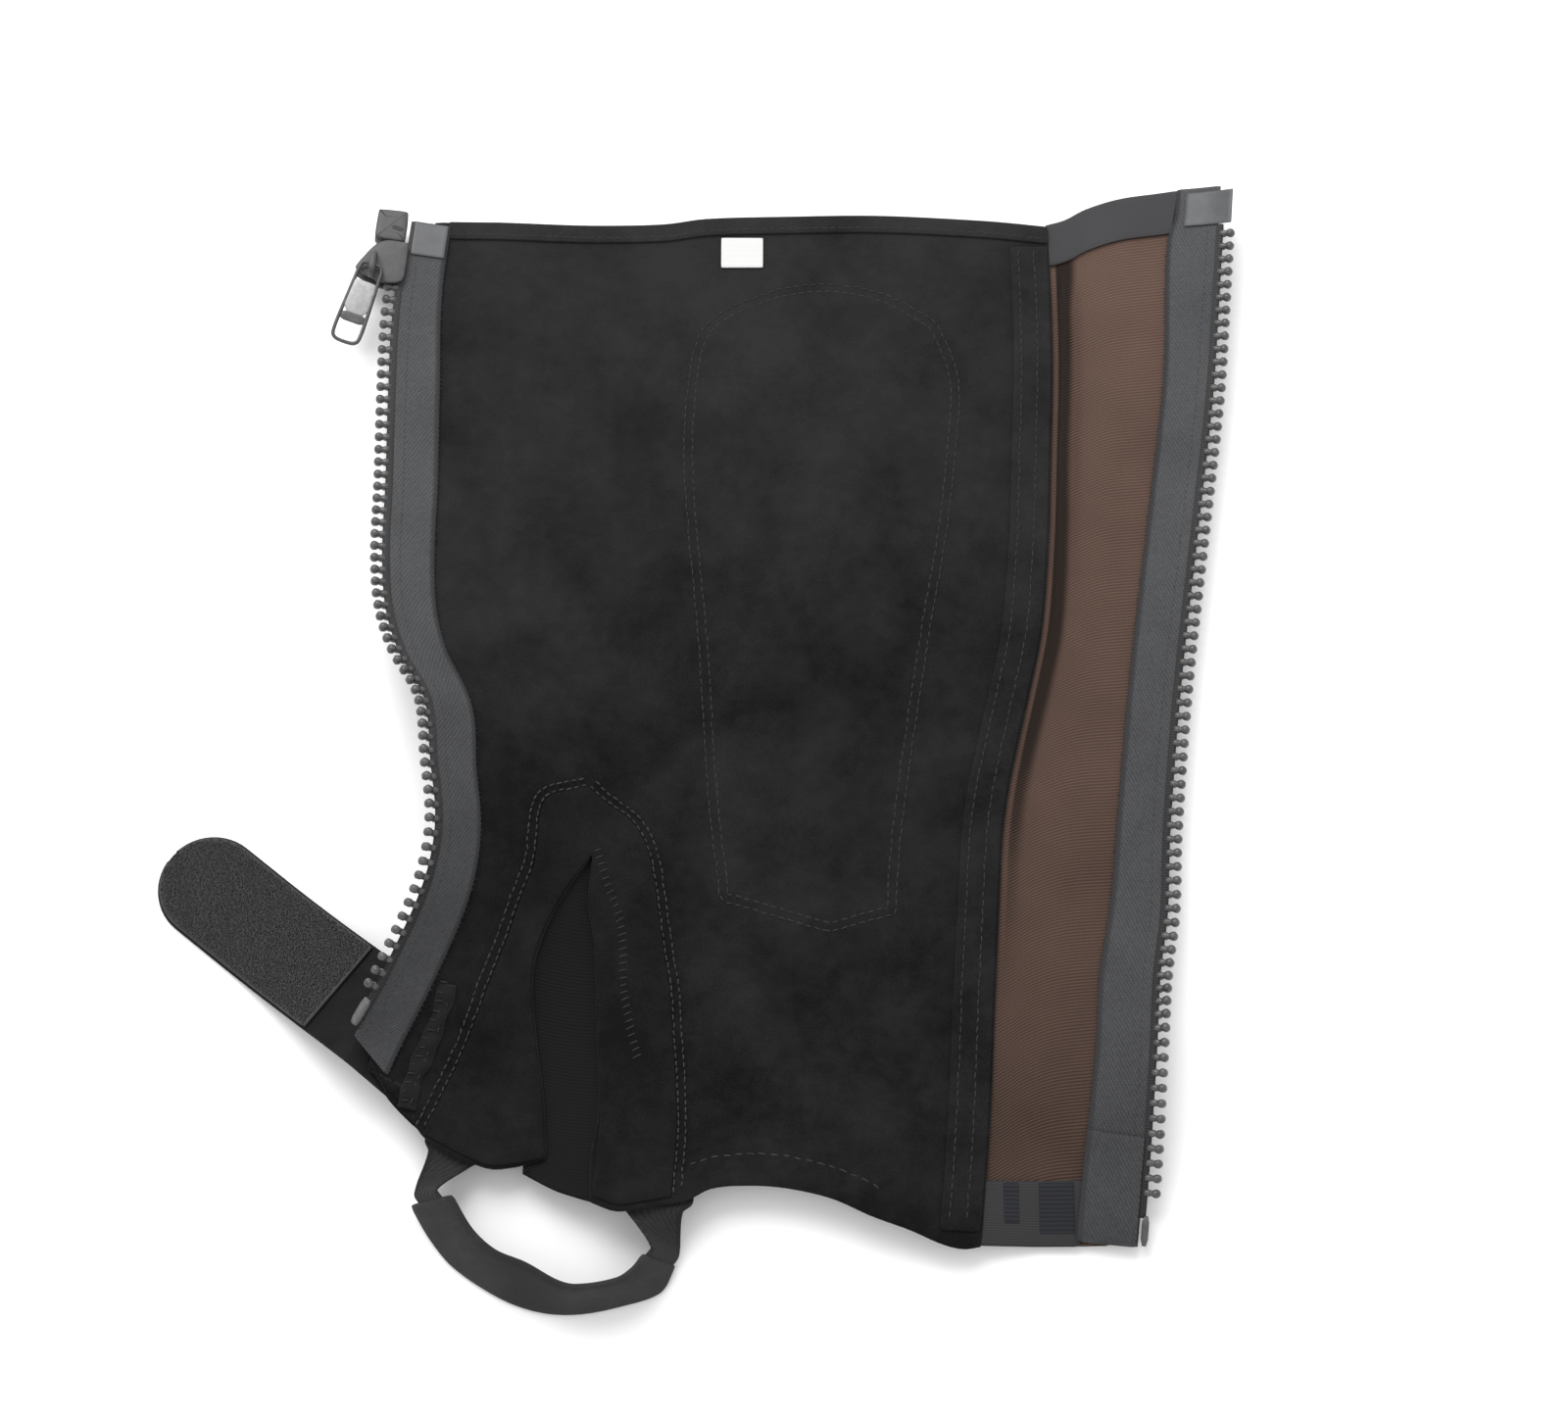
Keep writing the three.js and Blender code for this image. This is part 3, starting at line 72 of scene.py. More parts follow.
FRONT = np.array([
    [-0.03, -1.005, 0.22], [0.10, -1.035, 0.22], [0.19, -1.037, 0.245], [0.28, -1.034, 0.29],
    [0.36, -1.033, 0.415], [0.42, -1.018, 0.54], [0.47, -0.980, 0.68], [0.52, -0.915, 0.82],
    [0.58, -0.894, 0.95], [0.64, -0.877, 1.00], [0.69, -0.900, 0.93], [0.76, -0.980, 0.78],
    [0.84, -1.083, 0.585], [1.00, -1.136, 0.44]])
REAR = np.array([
    [-0.03, 0.994, 0.90], [0.09, 0.966, 0.72], [0.19, 0.941, 0.61], [0.32, 0.894, 0.55],
    [0.48, 0.836, 0.50], [0.62, 0.797, 0.50], [0.70, 0.783, 0.56], [0.76, 0.760, 0.72],
    [0.82, 0.746, 1.00], [0.88, 0.732, 0.89], [0.93, 0.720, 0.56], [1.01, 0.698, 0.17]])
SPREAD = np.array([
    [-0.03, -0.11, 0.00], [0.008, -0.105, 0.02], [0.022, -0.102, 0.12], [0.06, -0.10, 0.13],
    [0.15, -0.02, 0.02], [0.24, 0.0, 0.0], [0.62, 0.0, 0.0],
    [0.72, 0.0, 0.12], [0.84, 0.0, 0.21], [1.01, 0.0, 0.20]])
SEAM = np.array([
    [-0.03, 0.558], [0.135, 0.563], [0.26, 0.550], [0.33, 0.541], [0.42, 0.519], [0.48, 0.487],
    [0.535, 0.454], [0.575, 0.432], [0.62, 0.415], [0.67, 0.406], [0.78, 0.388], [0.89, 0.371],
    [1.01, 0.342]])
TOP_WAVE = np.array([
    [-1.03, -0.9], [-0.76, -0.4], [-0.52, -0.5], [-0.38, -0.2], [-0.28, 1.1], [-0.09, 1.75],
    [0.15, 1.95], [0.40, 0.6], [0.56, -1.0]])
ELASTIC_TOP = np.array([
    [0.50, -0.20], [0.60, 0.12], [0.66, 0.56], [0.74, 0.88], [0.84, 0.95], [1.02, 0.90]])
BOTTOM = np.array([
    [0.343, 0.998], [0.305, 1.000], [0.260, 0.996], [0.194, 0.985], [0.107, 0.973], [0.020, 0.958],
    [-0.088, 0.948], [-0.175, 0.946], [-0.250, 0.949], [-0.305, 0.960], [-0.378, 0.965],
    [-0.455, 0.970], [-0.512, 0.962]])
ANKLE_CORNER = np.array([
    [-0.938, 0.860], [-0.886, 0.904], [-0.750, 0.930], [-0.690, 0.929], [-0.622, 0.921]])
MOUTH = np.array([
    [0.641, -0.530, -0.524], [0.666, -0.571, -0.530], [0.689, -0.605, -0.532],
    [0.718, -0.639, -0.520], [0.753, -0.662, -0.513], [0.805, -0.655, -0.508],
    [0.875, -0.631, -0.500], [0.921, -0.622, -0.514], [0.962, -0.622, -0.512]])
FACING = np.array([
    [0.580, -0.545, -0.539], [0.593, -0.626, -0.505], [0.609, -0.643, -0.447],
    [0.628, -0.647, -0.415], [0.657, -0.653, -0.394], [0.686, -0.678, -0.383],
    [0.735, -0.720, -0.365], [0.765, -0.750, -0.352], [0.814, -0.794, -0.343],
    [0.852, -0.833, -0.336], [0.900, -0.872, -0.332], [0.964, -0.880, -0.334]])
PATCH_WIDTH, PATCH_HEIGHT, PATCH_MIDDLE, PATCH_TOP = 92.0, 225.0, 0.0075, 0.061
PATCH_TOP_LINE = np.array([
    [-0.312, 0.032], [-0.145, 0.007], [0.05, 0.0], [0.245, 0.020], [0.41, 0.062]])
PATCH_LEFT = np.array([
    [-0.312, 0.032], [-0.423, 0.063], [-0.475, 0.105], [-0.508, 0.228], [-0.504, 0.336],
    [-0.451, 0.572], [-0.408, 0.823], [-0.365, 0.953]])
PATCH_RIGHT = np.array([
    [0.41, 0.062], [0.475, 0.118], [0.50, 0.180], [0.484, 0.265], [0.451, 0.384],
    [0.363, 0.595], [0.277, 0.834], [0.245, 0.972]])
PATCH_BOTTOM = np.array([[-0.365, 0.953], [0.012, 1.0], [0.245, 0.972]])
print("tables:", len(FRONT) + len(REAR) + len(SEAM) + len(BOTTOM), "rows on the four long edges")

# %% [markdown]
# One smooth curve goes through each table. The ground that all cloth lies over is one height function:
# flat in the middle, curling up along both zips and lifted along the lower edge. A few slow waves are
# added to it, because suede never lies quite flat.

# %% Curves and the curled ground
def curve(keys, values, t):
    """On each span: the straight line plus s(1-s)((1-s)a + s b), where a and b are what the neighbouring
    rows' slopes add to it. Beyond both ends it goes on straight."""
    rows = np.arange(len(keys))
    before, after = np.maximum(rows - 1, 0), np.minimum(rows + 1, len(keys) - 1)
    slope = (values[after] - values[before]) / (keys[after] - keys[before])
    t = np.asarray(t, float)
    i = np.clip(np.searchsorted(keys, t) - 1, 0, len(keys) - 2)
    span = keys[i + 1] - keys[i]
    s = np.clip((t - keys[i]) / span, 0, 1)
    rise = values[i + 1] - values[i]
    a, b = slope[i] * span - rise, rise - slope[i + 1] * span
    ends = slope[0] * np.minimum(t - keys[0], 0) + slope[-1] * np.maximum(t - keys[-1], 0)
    return values[i] + s * rise + s * (1 - s) * ((1 - s) * a + s * b) + ends


def table(rows, column, t):
    """A column of a table at t, where the first column holds the keys."""
    return curve(rows[:, 0], rows[:, column], t)


def y_of(down):
    """Millimetres from mid height, for a share of the height from the top."""
    return HEIGHT * (0.5 - np.asarray(down, float))


def spots(rows):
    """Plan points of a table of side and down."""
    return np.stack([HALF * rows[:, 0], y_of(rows[:, 1])], -1)


WAVES = np.array([
    [0.061, 0.018, 0.4, 0.16], [-0.024, 0.047, 1.9, 0.20], [0.035, -0.071, 4.1, 0.12],
    [0.092, 0.055, 2.6, 0.07], [-0.11, 0.13, 5.2, 0.05]])


def waves(x, y):
    """A sum of slow sine waves over the plan, each lifted so that it never goes below zero."""
    turn = x[..., None] * WAVES[:, 0] + y[..., None] * WAVES[:, 1] + WAVES[:, 2]
    return ((1 + np.sin(turn)) * WAVES[:, 3]).sum(-1)


def ground(x, y):
    """(1 - distance / curl) squared from each zip edge, times that edge's height, plus the lift along the
    lower edge, plus the waves, which fade out toward both zips."""
    down = 0.5 - y / HEIGHT
    to_front = x - HALF * table(FRONT, 1, down)
    to_rear = HALF * table(REAR, 1, down) - x
    front = np.maximum(0, 1 - to_front / ANKLE_CURL) ** 2
    rear = np.maximum(0, 1 - to_rear / REAR_CURL) ** 2
    slack = np.clip(np.minimum(to_front, to_rear) / 30.0, 0, 1) ** 2
    front_high = np.maximum(0, ANKLE_RISE * table(FRONT, 2, down) - FRONT_MID)
    rear_high = np.maximum(0, REAR_RISE * table(REAR, 2, down) - REAR_MID)
    low = np.maximum(0, (down - 0.80) / 0.145) ** 2 * np.clip(1 - x / 65.0, 0, 1)
    return front_high * front + rear_high * rear + 9.0 * low + slack * waves(x, y)


def lean(height, x, y):
    """The slopes of a height function and how much longer its surface is than its plan."""
    dx = height(x + 0.5, y) - height(x - 0.5, y)
    dy = height(x, y + 0.5) - height(x, y - 0.5)
    return dx, dy, np.sqrt(1 + dx * dx + dy * dy)


def unit(v):
    """Each vector divided by its own length."""
    return v / np.maximum(np.linalg.norm(v, axis=-1, keepdims=True), 1e-9)


def over(x, y, rise, height=ground):
    """Points at a distance above the ground, and the ground's normals there."""
    dx, dy, stretch = lean(height, x, y)
    points = np.stack([x, y, height(x, y) + rise * stretch], -1)
    return points, unit(np.stack([-dx, -dy, np.ones_like(dx)], -1))


patch_low, patch_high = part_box("calf_patch")
SHIFT = np.array([
    patch_low.x * 1000 + PATCH_WIDTH * 0.508 - HALF * PATCH_MIDDLE,
    patch_high.y * 1000 - y_of(PATCH_TOP),
    0.0])
print("middle line lies at", SHIFT.round(2), "mm")

# %% [markdown]
# A zip edge has its own axes at each point: along it, away from the chap, and up off the tape. Lines
# that run beside it are measured over the curled surface, as the tape itself would be.

# %% Zip edges
def edge_frame(edge, down):
    """Points of a zip edge with unit vectors along it, out from the chap and up off the tape."""
    rows, middle = (FRONT, FRONT_MID) if edge == "front" else (REAR, REAR_MID)

    def at(d):
        """The edge's points, half a tooth's height above the ground, and the ground's normals."""
        x, y = HALF * table(rows, 1, d), y_of(d)
        points, up = over(x, y, 0.0)
        return points + up * middle, up

    here, up = at(down)
    along = unit(at(down + 0.004)[0] - at(down - 0.004)[0])
    out = unit(np.cross(up, along))
    out *= np.where((out[:, :1] > 0) == (edge == "front"), -1.0, 1.0)
    up = unit(np.cross(out, along))
    up *= np.where(up[:, 2:] < 0, -1.0, 1.0)
    return here, along, out, up


def beside(edge, inset, downs):
    """Plan line at a distance inside a zip edge: the reach is corrected until the way over the ground,
    summed in 24 steps, is that distance."""
    here, along, out, up = edge_frame(edge, downs)
    turn = unit(out[:, :2])
    reach = inset * np.ones(len(downs))
    shares = np.linspace(0, 1, 25)
    for _ in range(4):
        steps = here[:, None, :2] - turn[:, None] * (reach[:, None] * shares)[..., None]
        z = ground(steps[..., 0], steps[..., 1])
        way = np.hypot(reach[:, None] / 24, np.diff(z, axis=1)).sum(1)
        reach *= inset / way
    return here[:, :2] - turn * reach[:, None]


def tape_width(edge, downs):
    """The tape's width, which the seam lets out or takes in a little along its way."""
    return TAPE * (1 + table(SPREAD, 1 if edge == "front" else 2, downs))


print("front edge is", round(float(edge_frame("front", np.array([0.64]))[0][0, 2]), 1), "mm up at the ankle")

# %% [markdown]
# Cloth is made as a thin closed shell: a grid of points, the same grid again a wall's thickness below,
# and a rim that turns round between them, so that every cut edge is softly rounded. The grid comes from
# four border lines blended together.

# %% Grids and shells
def walk(points, shares, smooth=True):
    """Points at the given shares of a line's length, on a smooth curve or on its straight legs."""
    points = np.asarray(points, float)
    keys = np.append(0, np.cumsum(np.linalg.norm(np.diff(points, axis=0), axis=1)))
    keys /= keys[-1]
    if smooth:
        return np.stack([curve(keys, column, shares) for column in points.T], -1)
    return np.stack([np.interp(shares, keys, column) for column in points.T], -1)


def fill(top, bottom, left, right):
    """Coons patch: top and bottom blended down the rows, plus left and right blended across them, less
    the plane through the four corners. Rows run down and columns across."""
    v = np.linspace(0, 1, len(left))[:, None, None]
    u = np.linspace(0, 1, len(top))[None, :, None]
    rows = (1 - v) * top[None] + v * bottom[None]
    columns = (1 - u) * left[:, None] + u * right[:, None]
    corners = (1 - v) * ((1 - u) * top[0] + u * top[-1]) + v * ((1 - u) * bottom[0] + u * bottom[-1])
    return rows + columns - corners


def ruled(left, right, across):
    """Straight rows between two lines."""
    u = np.linspace(0, 1, across)[None, :, None]
    return (1 - u) * left[:, None] + u * right[:, None]


def put(name, points, faces, uv=None, body="chap"):
    """A mesh object from points in millimetres, moved to the chap's place and turned into metres."""
    mesh = bpy.data.meshes.new(name)
    mesh.from_pydata(((points + SHIFT) * 0.001).tolist(), [], [list(f) for f in faces])
    if uv is not None:
        corner = np.zeros(len(mesh.loops), np.int32)
        mesh.loops.foreach_get("vertex_index", corner)
        layer = mesh.uv_layers.new(name="cloth")
        layer.data.foreach_set("uv", uv[corner].astype(np.float32).ravel())
    mesh.shade_smooth()
    piece = bpy.data.objects.new(name, mesh)
    bpy.context.scene.collection.objects.link(piece)
    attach(piece, body)
    return piece


def grid_quads(index):
    """Four corners for each cell of a grid of point numbers."""
    return np.stack([index[:-1, :-1], index[:-1, 1:], index[1:, 1:], index[1:, :-1]], -1).reshape(-1, 4)


def grid_border(index):
    """The point numbers once round a grid's outside."""
    return np.concatenate([index[0, :-1], index[:-1, -1], index[-1, :0:-1], index[:0:-1, 0]])


def shell(name, middle, normal, wall, quads, border, uv, rim=3):
    """Two copies of a surface, half a wall above and below it, joined by a rim that follows half a circle
    from one to the other."""
    plan = middle[border][:, :2]
    turn = np.roll(plan, -1, 0)
    left_turning = (plan[:, 0] * turn[:, 1] - turn[:, 0] * plan[:, 1]).sum() > 0
    if not left_turning:
        quads, border = quads[:, ::-1], border[::-1]
    half = wall / 2
    count = len(middle)
    tangent = np.roll(middle[border], -1, 0) - np.roll(middle[border], 1, 0)
    away = unit(np.cross(tangent, normal[border]))
    angle = np.linspace(np.pi / 2, -np.pi / 2, rim + 2)[1:-1, None, None]
    rings = middle[border] + half * (np.sin(angle) * normal[border] + np.cos(angle) * away)
    points = np.concatenate([middle + half * normal, middle - half * normal, rings.reshape(-1, 3)])
    rows = [border, *(2 * count + np.arange(rim * len(border)).reshape(rim, -1)), border + count]
    faces = [quads, quads[:, ::-1] + count]
    for upper, lower in zip(rows[:-1], rows[1:]):
        faces.append(np.stack([upper, lower, np.roll(lower, -1), np.roll(upper, -1)], -1))
    uv = np.concatenate([uv, uv, np.tile(uv[border], (rim, 1))])
    return put(name, points, np.concatenate(faces), uv)


def lengths(middle):
    """Way along each row and down each column of a grid, summed from step to step."""
    across = np.linalg.norm(np.diff(middle, axis=1), axis=2)
    downward = np.linalg.norm(np.diff(middle, axis=0), axis=2)
    across = np.pad(np.cumsum(across, 1), ((0, 0), (1, 0)))
    downward = np.pad(np.cumsum(downward, 0), ((1, 0), (0, 0)))
    return across, downward


def cloth(name, plan, low, high, relief=None, height=ground):
    """A shell over a plan grid, between two heights above the ground. Its map holds millimetres across
    and down."""
    middle, normal = over(plan[..., 0], plan[..., 1], (low + high) / 2, height)
    if relief is not None:
        middle[..., 2] += relief
    across, downward = lengths(middle)
    index = np.arange(across.size).reshape(across.shape)
    one, two = np.diff(middle, axis=0)[:, :-1], np.diff(middle, axis=1)[:-1]
    uv = np.stack([across, downward], -1).reshape(-1, 2)
    return shell(name, middle.reshape(-1, 3), normal.reshape(-1, 3), high - low,
                 grid_quads(index), grid_border(index), uv)


print("a sheet's rim has", 3, "rows of points between its two faces")

# %% [markdown]
# Materials. Suede is a brushed nap: broad clouds where it has been stroked one way or the other, fine
# grain over them, and a soft sheen at grazing angles. Knitted elastic, zip tape and webbing have
# patterns that follow the cloth, so they read the piece's own map in millimetres.

# %% Material helpers
def finish(name, roughness, **sockets):
    """An empty material with its shader, and the shader's fixed values set on its own sockets."""
    material = bpy.data.materials.new(name)
    material.use_nodes = True
    shader = material.node_tree.nodes["Principled BSDF"]
    shader.inputs["Roughness"].default_value = roughness
    for key, value in sockets.items():
        shader.inputs[key.replace("_", " ")].default_value = value
    return material, material.node_tree, shader


def node(tree, kind, inputs=None, **settings):
    """A node with its settings and its unlinked or linked inputs."""
    made = tree.nodes.new(kind)
    for key, value in settings.items():
        setattr(made, key, value)
    for key, value in (inputs or {}).items():
        if isinstance(value, bpy.types.NodeSocket):
            tree.links.new(value, made.inputs[key])
        else:
            made.inputs[key].default_value = value
    return made


def object_place(tree):
    """Metres in the chap's own frame."""
    return node(tree, "ShaderNodeTexCoord").outputs["Object"]


def cloth_place(tree):
    """Millimetres across and down the piece's own cloth."""
    return node(tree, "ShaderNodeUVMap", uv_map="cloth").outputs["UV"]


def noise(tree, place, scale, detail=3.0, rough=0.55):
    """Clouds about 1 / scale metres across, with finer ones on top of them."""
    made = node(tree, "ShaderNodeTexNoise", {"Vector": place, "Scale": scale, "Detail": detail,
                                            "Roughness": rough})
    return made.outputs["Fac"]


def maths(tree, operation, a, b):
    """One sum on two values."""
    return node(tree, "ShaderNodeMath", {0: a, 1: b}, operation=operation).outputs[0]


def ramp(tree, fac, stops):
    """A colour ramp from (place, grey or colour) stops, in linear light."""
    made = node(tree, "ShaderNodeValToRGB", {"Fac": fac})
    points = made.color_ramp.elements
    while len(points) < len(stops):
        points.new(0.5)
    for point, (place, colour) in zip(points, stops):
        point.position = place
        colour = (colour,) * 3 if np.isscalar(colour) else colour
        point.color = (*colour, 1)
    return made.outputs["Color"]


def bump(tree, shader, height, distance, strength=1.0):
    """Tilts the surface by a height pattern that is the given distance deep."""
    made = node(tree, "ShaderNodeBump", {"Height": height, "Distance": distance, "Strength": strength})
    tree.links.new(made.outputs["Normal"], shader.inputs["Normal"])


def bands(tree, place, axis, pitch, profile="SIN", distortion=0.0):
    """Stripes across one axis of the cloth's own map, a pitch in millimetres apart."""
    made = node(tree, "ShaderNodeTexWave", {"Vector": place, "Scale": 0.05 * 2 * math.pi / pitch,
                                           "Distortion": distortion, "Detail": 1.0},
                wave_type="BANDS", bands_direction=axis, wave_profile=profile)
    return made.outputs["Fac"]


def weighted(tree, *parts):
    """The sum of each value times its weight."""
    total = 0.0
    for value, weight in parts:
        total = maths(tree, "ADD", total, maths(tree, "MULTIPLY", value, weight))
    return total


def ranged(tree, value, low, high, to_low, to_high, **settings):
    """A value carried from one range to another, and held at both ends."""
    return node(tree, "ShaderNodeMapRange", {0: value, 1: low, 2: high, 3: to_low, 4: to_high},
                **settings).outputs["Result"]


def painted_light_up_the_leg(tree, low, high, from_y=-0.16):
    """Painted light: a tone from low at the ankle to high at the top hem, where the window light falls more.
    """
    y = node(tree, "ShaderNodeSeparateXYZ", {"Vector": object_place(tree)}).outputs["Y"]
    return ranged(tree, y, from_y, 0.19, low, high)


def coloured(tree, shader, tone, stops):
    """Sends a tone through a colour ramp to the shader's colour."""
    tree.links.new(ramp(tree, tone, stops), shader.inputs["Base Color"])


print("node helpers ready")

# %% [markdown]
# Split suede is a brushed nap with no grain side. An image of suede would show its tiles, and one noise
# would look like felt, so four sizes of noise are added up. Painted light goes over them: the suede is
# painted darker toward the ankle and lighter toward the top hem, where the window light falls more.

# %% Suede
def suede(name, dark, light, grain=1.0):
    """Swathes 90 mm wide, clouds of 25 mm, mottling of 5 mm and nap of half a millimetre, over a painted
    shade that slowly darkens toward the ankle. The nap also roughens the surface."""
    material, tree, shader = finish(name, 0.95, Sheen_Weight=0.05, Sheen_Roughness=0.5,
                                    Specular_IOR_Level=0.10)
    place = object_place(tree)
    swathe = noise(tree, place, 11.0, 2.0)
    clouds = noise(tree, place, 42.0, 4.0, 0.6)
    mottle = noise(tree, place, 210.0, 3.0)
    nap = noise(tree, place, 1900.0, 2.0, 0.7)
    # Painted light: darker toward the ankle, lighter toward the top hem.
    shade = painted_light_up_the_leg(tree, -0.060, 0.115, from_y=-0.03)
    tone = weighted(tree, (swathe, 0.34), (clouds, 0.30), (mottle, 0.14), (nap, 0.22), (shade, 1))
    coloured(tree, shader, tone, [(0.36, dark), (0.64, light)])
    bump(tree, shader, weighted(tree, (mottle, 0.7), (nap, 1)), 0.00026 * grain, 0.9)
    return material


SUEDE = suede("black_suede", 0.0030, 0.0200)
SUEDE_TURNED = suede("black_suede_turned", 0.0040, 0.0230, 1.3)
SUEDE_GUSSET = suede("black_suede_gusset", 0.0038, 0.0180, 1.2)
SUEDE_DULL = suede("worn_strap_suede", 0.008, 0.024, 1.4)
SUEDE_STRAP = suede("grey_suede", 0.024, 0.058, 1.6)
print("suede finishes ready")

# %% [markdown]
# Woven goods have patterns that run with the cloth, so stripes taken from the piece's own map bend with
# it, which stripes in space wouldn't do. Elastic is ribbed across, zip tape is a twill with slanting
# ridges. The long fold's hollow is darkened in the colour as well as in the shape: painted shade, so that
# the folded elastic looks almost black.

# %% Elastic, tape and webbing
def painted_fold_shade(tree, place):
    """Mask of the painted shade: 1 in the fold's hollow and 0 outside it. It starts 9 mm from the panel's
    left edge, is 6 mm wide at the top and narrower further down, and fades out from 140 mm to 270 mm."""
    own = node(tree, "ShaderNodeSeparateXYZ", {"Vector": place})
    across, down = own.outputs["X"], own.outputs["Y"]
    narrowing = weighted(tree, (across, 1), (down, 0.013))
    hollow = 1.0
    for value, *edges in ((across, 8.2, 9.4, 0.0, 1.0), (narrowing, 13.0, 17.4, 1.0, 0.0),
                          (down, 6.0, 18.0, 0.0, 1.0), (down, 140.0, 270.0, 1.0, 0.0)):
        part = ranged(tree, value, *edges, interpolation_type="SMOOTHSTEP")
        hollow = maths(tree, "MULTIPLY", hollow, part)
    return hollow


def knit(name, dark, light, pitch, depth=0.00018, painted_crease_shade=False):
    """Ribs across the cloth a pitch apart, with finer yarn between them and a slow painted shade that
    darkens toward the lower end. Where wanted, painted shade also darkens the long fold's hollow."""
    material, tree, shader = finish(name, 0.85, Sheen_Weight=0.06, Sheen_Roughness=0.45,
                                    Specular_IOR_Level=0.15)
    place = cloth_place(tree)
    rib = bands(tree, place, "Y", pitch, distortion=0.35)
    yarn = bands(tree, place, "X", pitch * 0.7)
    cloudy = noise(tree, object_place(tree), 26.0, 4.0)
    weave = weighted(tree, (rib, 0.8), (yarn, 0.2))
    # Painted light: darker toward the lower end, lighter toward the top.
    parts = [(weave, 0.34), (cloudy, 0.36), (painted_light_up_the_leg(tree, -0.07, 0.28), 1)]
    darkest = dark
    if painted_crease_shade:
        # Painted shade in the long fold's hollow, with a darker first colour stop for it.
        parts.append((painted_fold_shade(tree, place), -0.72))
        darkest = tuple(0.32 * c for c in dark)
    coloured(tree, shader, weighted(tree, *parts), [(0.05, darkest), (0.25, dark), (0.85, light)])
    bump(tree, shader, weave, depth, 0.8)
    return material


def twill(name, dark, light, pitch=0.9, depth=0.00012):
    """Diagonal ridges broken up by noise: the cloth's two map axes are turned before the stripes are
    taken, and cross yarns cut the ridges short. The first millimetre and a half is painted darker, a
    painted shadow where the tape's edge meets the cloth below it."""
    material, tree, shader = finish(name, 0.8, Sheen_Weight=0.05, Specular_IOR_Level=0.2)
    place = cloth_place(tree)
    slanting = node(tree, "ShaderNodeMapping", {"Vector": place, "Rotation": (0, 0, math.radians(32))})
    ridge = bands(tree, slanting.outputs["Vector"], "X", pitch, distortion=2.2)
    yarn = bands(tree, place, "Y", pitch * 0.5, distortion=0.6)
    fleck = noise(tree, object_place(tree), 900.0, 2.0, 0.7)
    cloudy = noise(tree, object_place(tree), 40.0, 4.0)
    weave = weighted(tree, (ridge, 0.55), (yarn, 0.45))
    across = node(tree, "ShaderNodeSeparateXYZ", {"Vector": place}).outputs["X"]
    # Painted shadow along the tape's inner edge.
    painted_edge_shadow = ranged(tree, across, 0.3, 1.5, -0.40, 0.0)
    # Painted light: darker toward the ankle, lighter toward the top.
    tone = weighted(tree, (weave, 0.33), (fleck, 0.38), (cloudy, 0.34), (painted_light_up_the_leg(tree, -0.14, 0.06), 1),
                    (painted_edge_shadow, 1))
    coloured(tree, shader, tone, [(0.25, dark), (0.75, light)])
    bump(tree, shader, weave, depth, 0.8)
    return material


ELASTIC = knit("brown_elastic", (0.046, 0.028, 0.021), (0.130, 0.080, 0.062), 1.05, 0.0003, painted_crease_shade=True)
ELASTIC_BLACK = knit("black_elastic", 0.0035, 0.010, 1.1)
BAND = knit("grey_band", (0.026, 0.026, 0.027), (0.056, 0.056, 0.059), 0.8, 0.0001)
BAND_RIBBED = knit("ribbed_band", (0.015, 0.0155, 0.019), (0.036, 0.037, 0.044), 1.3, 0.0003)
TAPE_CLOTH = twill("zip_tape", (0.0275, 0.028, 0.0295), (0.0785, 0.080, 0.0845), 1.0, 0.00015)
WEBBING = twill("foot_webbing", 0.010, 0.030, 1.6)
LABEL = knit("bare_label", (0.52, 0.52, 0.515), (0.70, 0.70, 0.695), 0.45, 0.00006)
TAPE_CORD = knit("tape_cord", 0.022, 0.058, 0.9)
print("woven finishes ready")

# %% [markdown]
# Teeth, stops and film are plastic, the slider and the pull are painted or plated metal. None of them is
# one flat colour on a used zip: the paint is a little cloudy and its gloss varies, so one noise drives
# both, and a finer one roughens the surface. Thread and hooks are plastic fibre and share the finish.

# %% Hard finishes
def moulded(name, dark, light, roughness, metal=0.0, coat=0.0, grain=400.0, depth=0.00003):
    """Plastic or painted metal: faint clouds in the colour and in the gloss, and a fine grain."""
    material, tree, shader = finish(name, roughness, Metallic=metal, Coat_Weight=coat, Coat_Roughness=0.12)
    place = object_place(tree)
    cloudy = noise(tree, place, grain, 3.0)
    coloured(tree, shader, cloudy, [(0.3, dark), (0.7, light)])
    gloss = ranged(tree, cloudy, 0.0, 1.0, roughness - 0.08, roughness + 0.1)
    tree.links.new(gloss, shader.inputs["Roughness"])
    bump(tree, shader, noise(tree, place, grain * 6, 2.0), depth, 0.4)
    return material


TOOTH = moulded("tooth_plastic", 0.032, 0.070, 0.38, coat=0.2)
SLIDER = moulded("painted_slider", 0.038, 0.062, 0.5)
# Painted shade for the slot in the box's top.
SLOT_SHADE_PAINT = moulded("painted_slot_shade", 0.012, 0.022, 0.6)
PULL = moulded("gunmetal_panel", 0.24, 0.34, 0.38, metal=0.3, depth=0.00001)
PULL_RIM = moulded("gunmetal_rim", 0.045, 0.080, 0.38, metal=0.4)
FILM = moulded("clear_film", (0.035, 0.036, 0.039), (0.068, 0.070, 0.076), 0.5, coat=0.12, grain=150.0)
STOP = moulded("stop_plastic", 0.06, 0.10, 0.5, coat=0.1)
THREAD = moulded("black_thread", 0.005, 0.020, 0.75, grain=700.0)
THREAD_GREY = moulded("worn_thread", 0.006, 0.038, 0.75, grain=520.0)
THREAD_DARK = moulded("dark_thread", 0.003, 0.014, 0.75, grain=600.0)
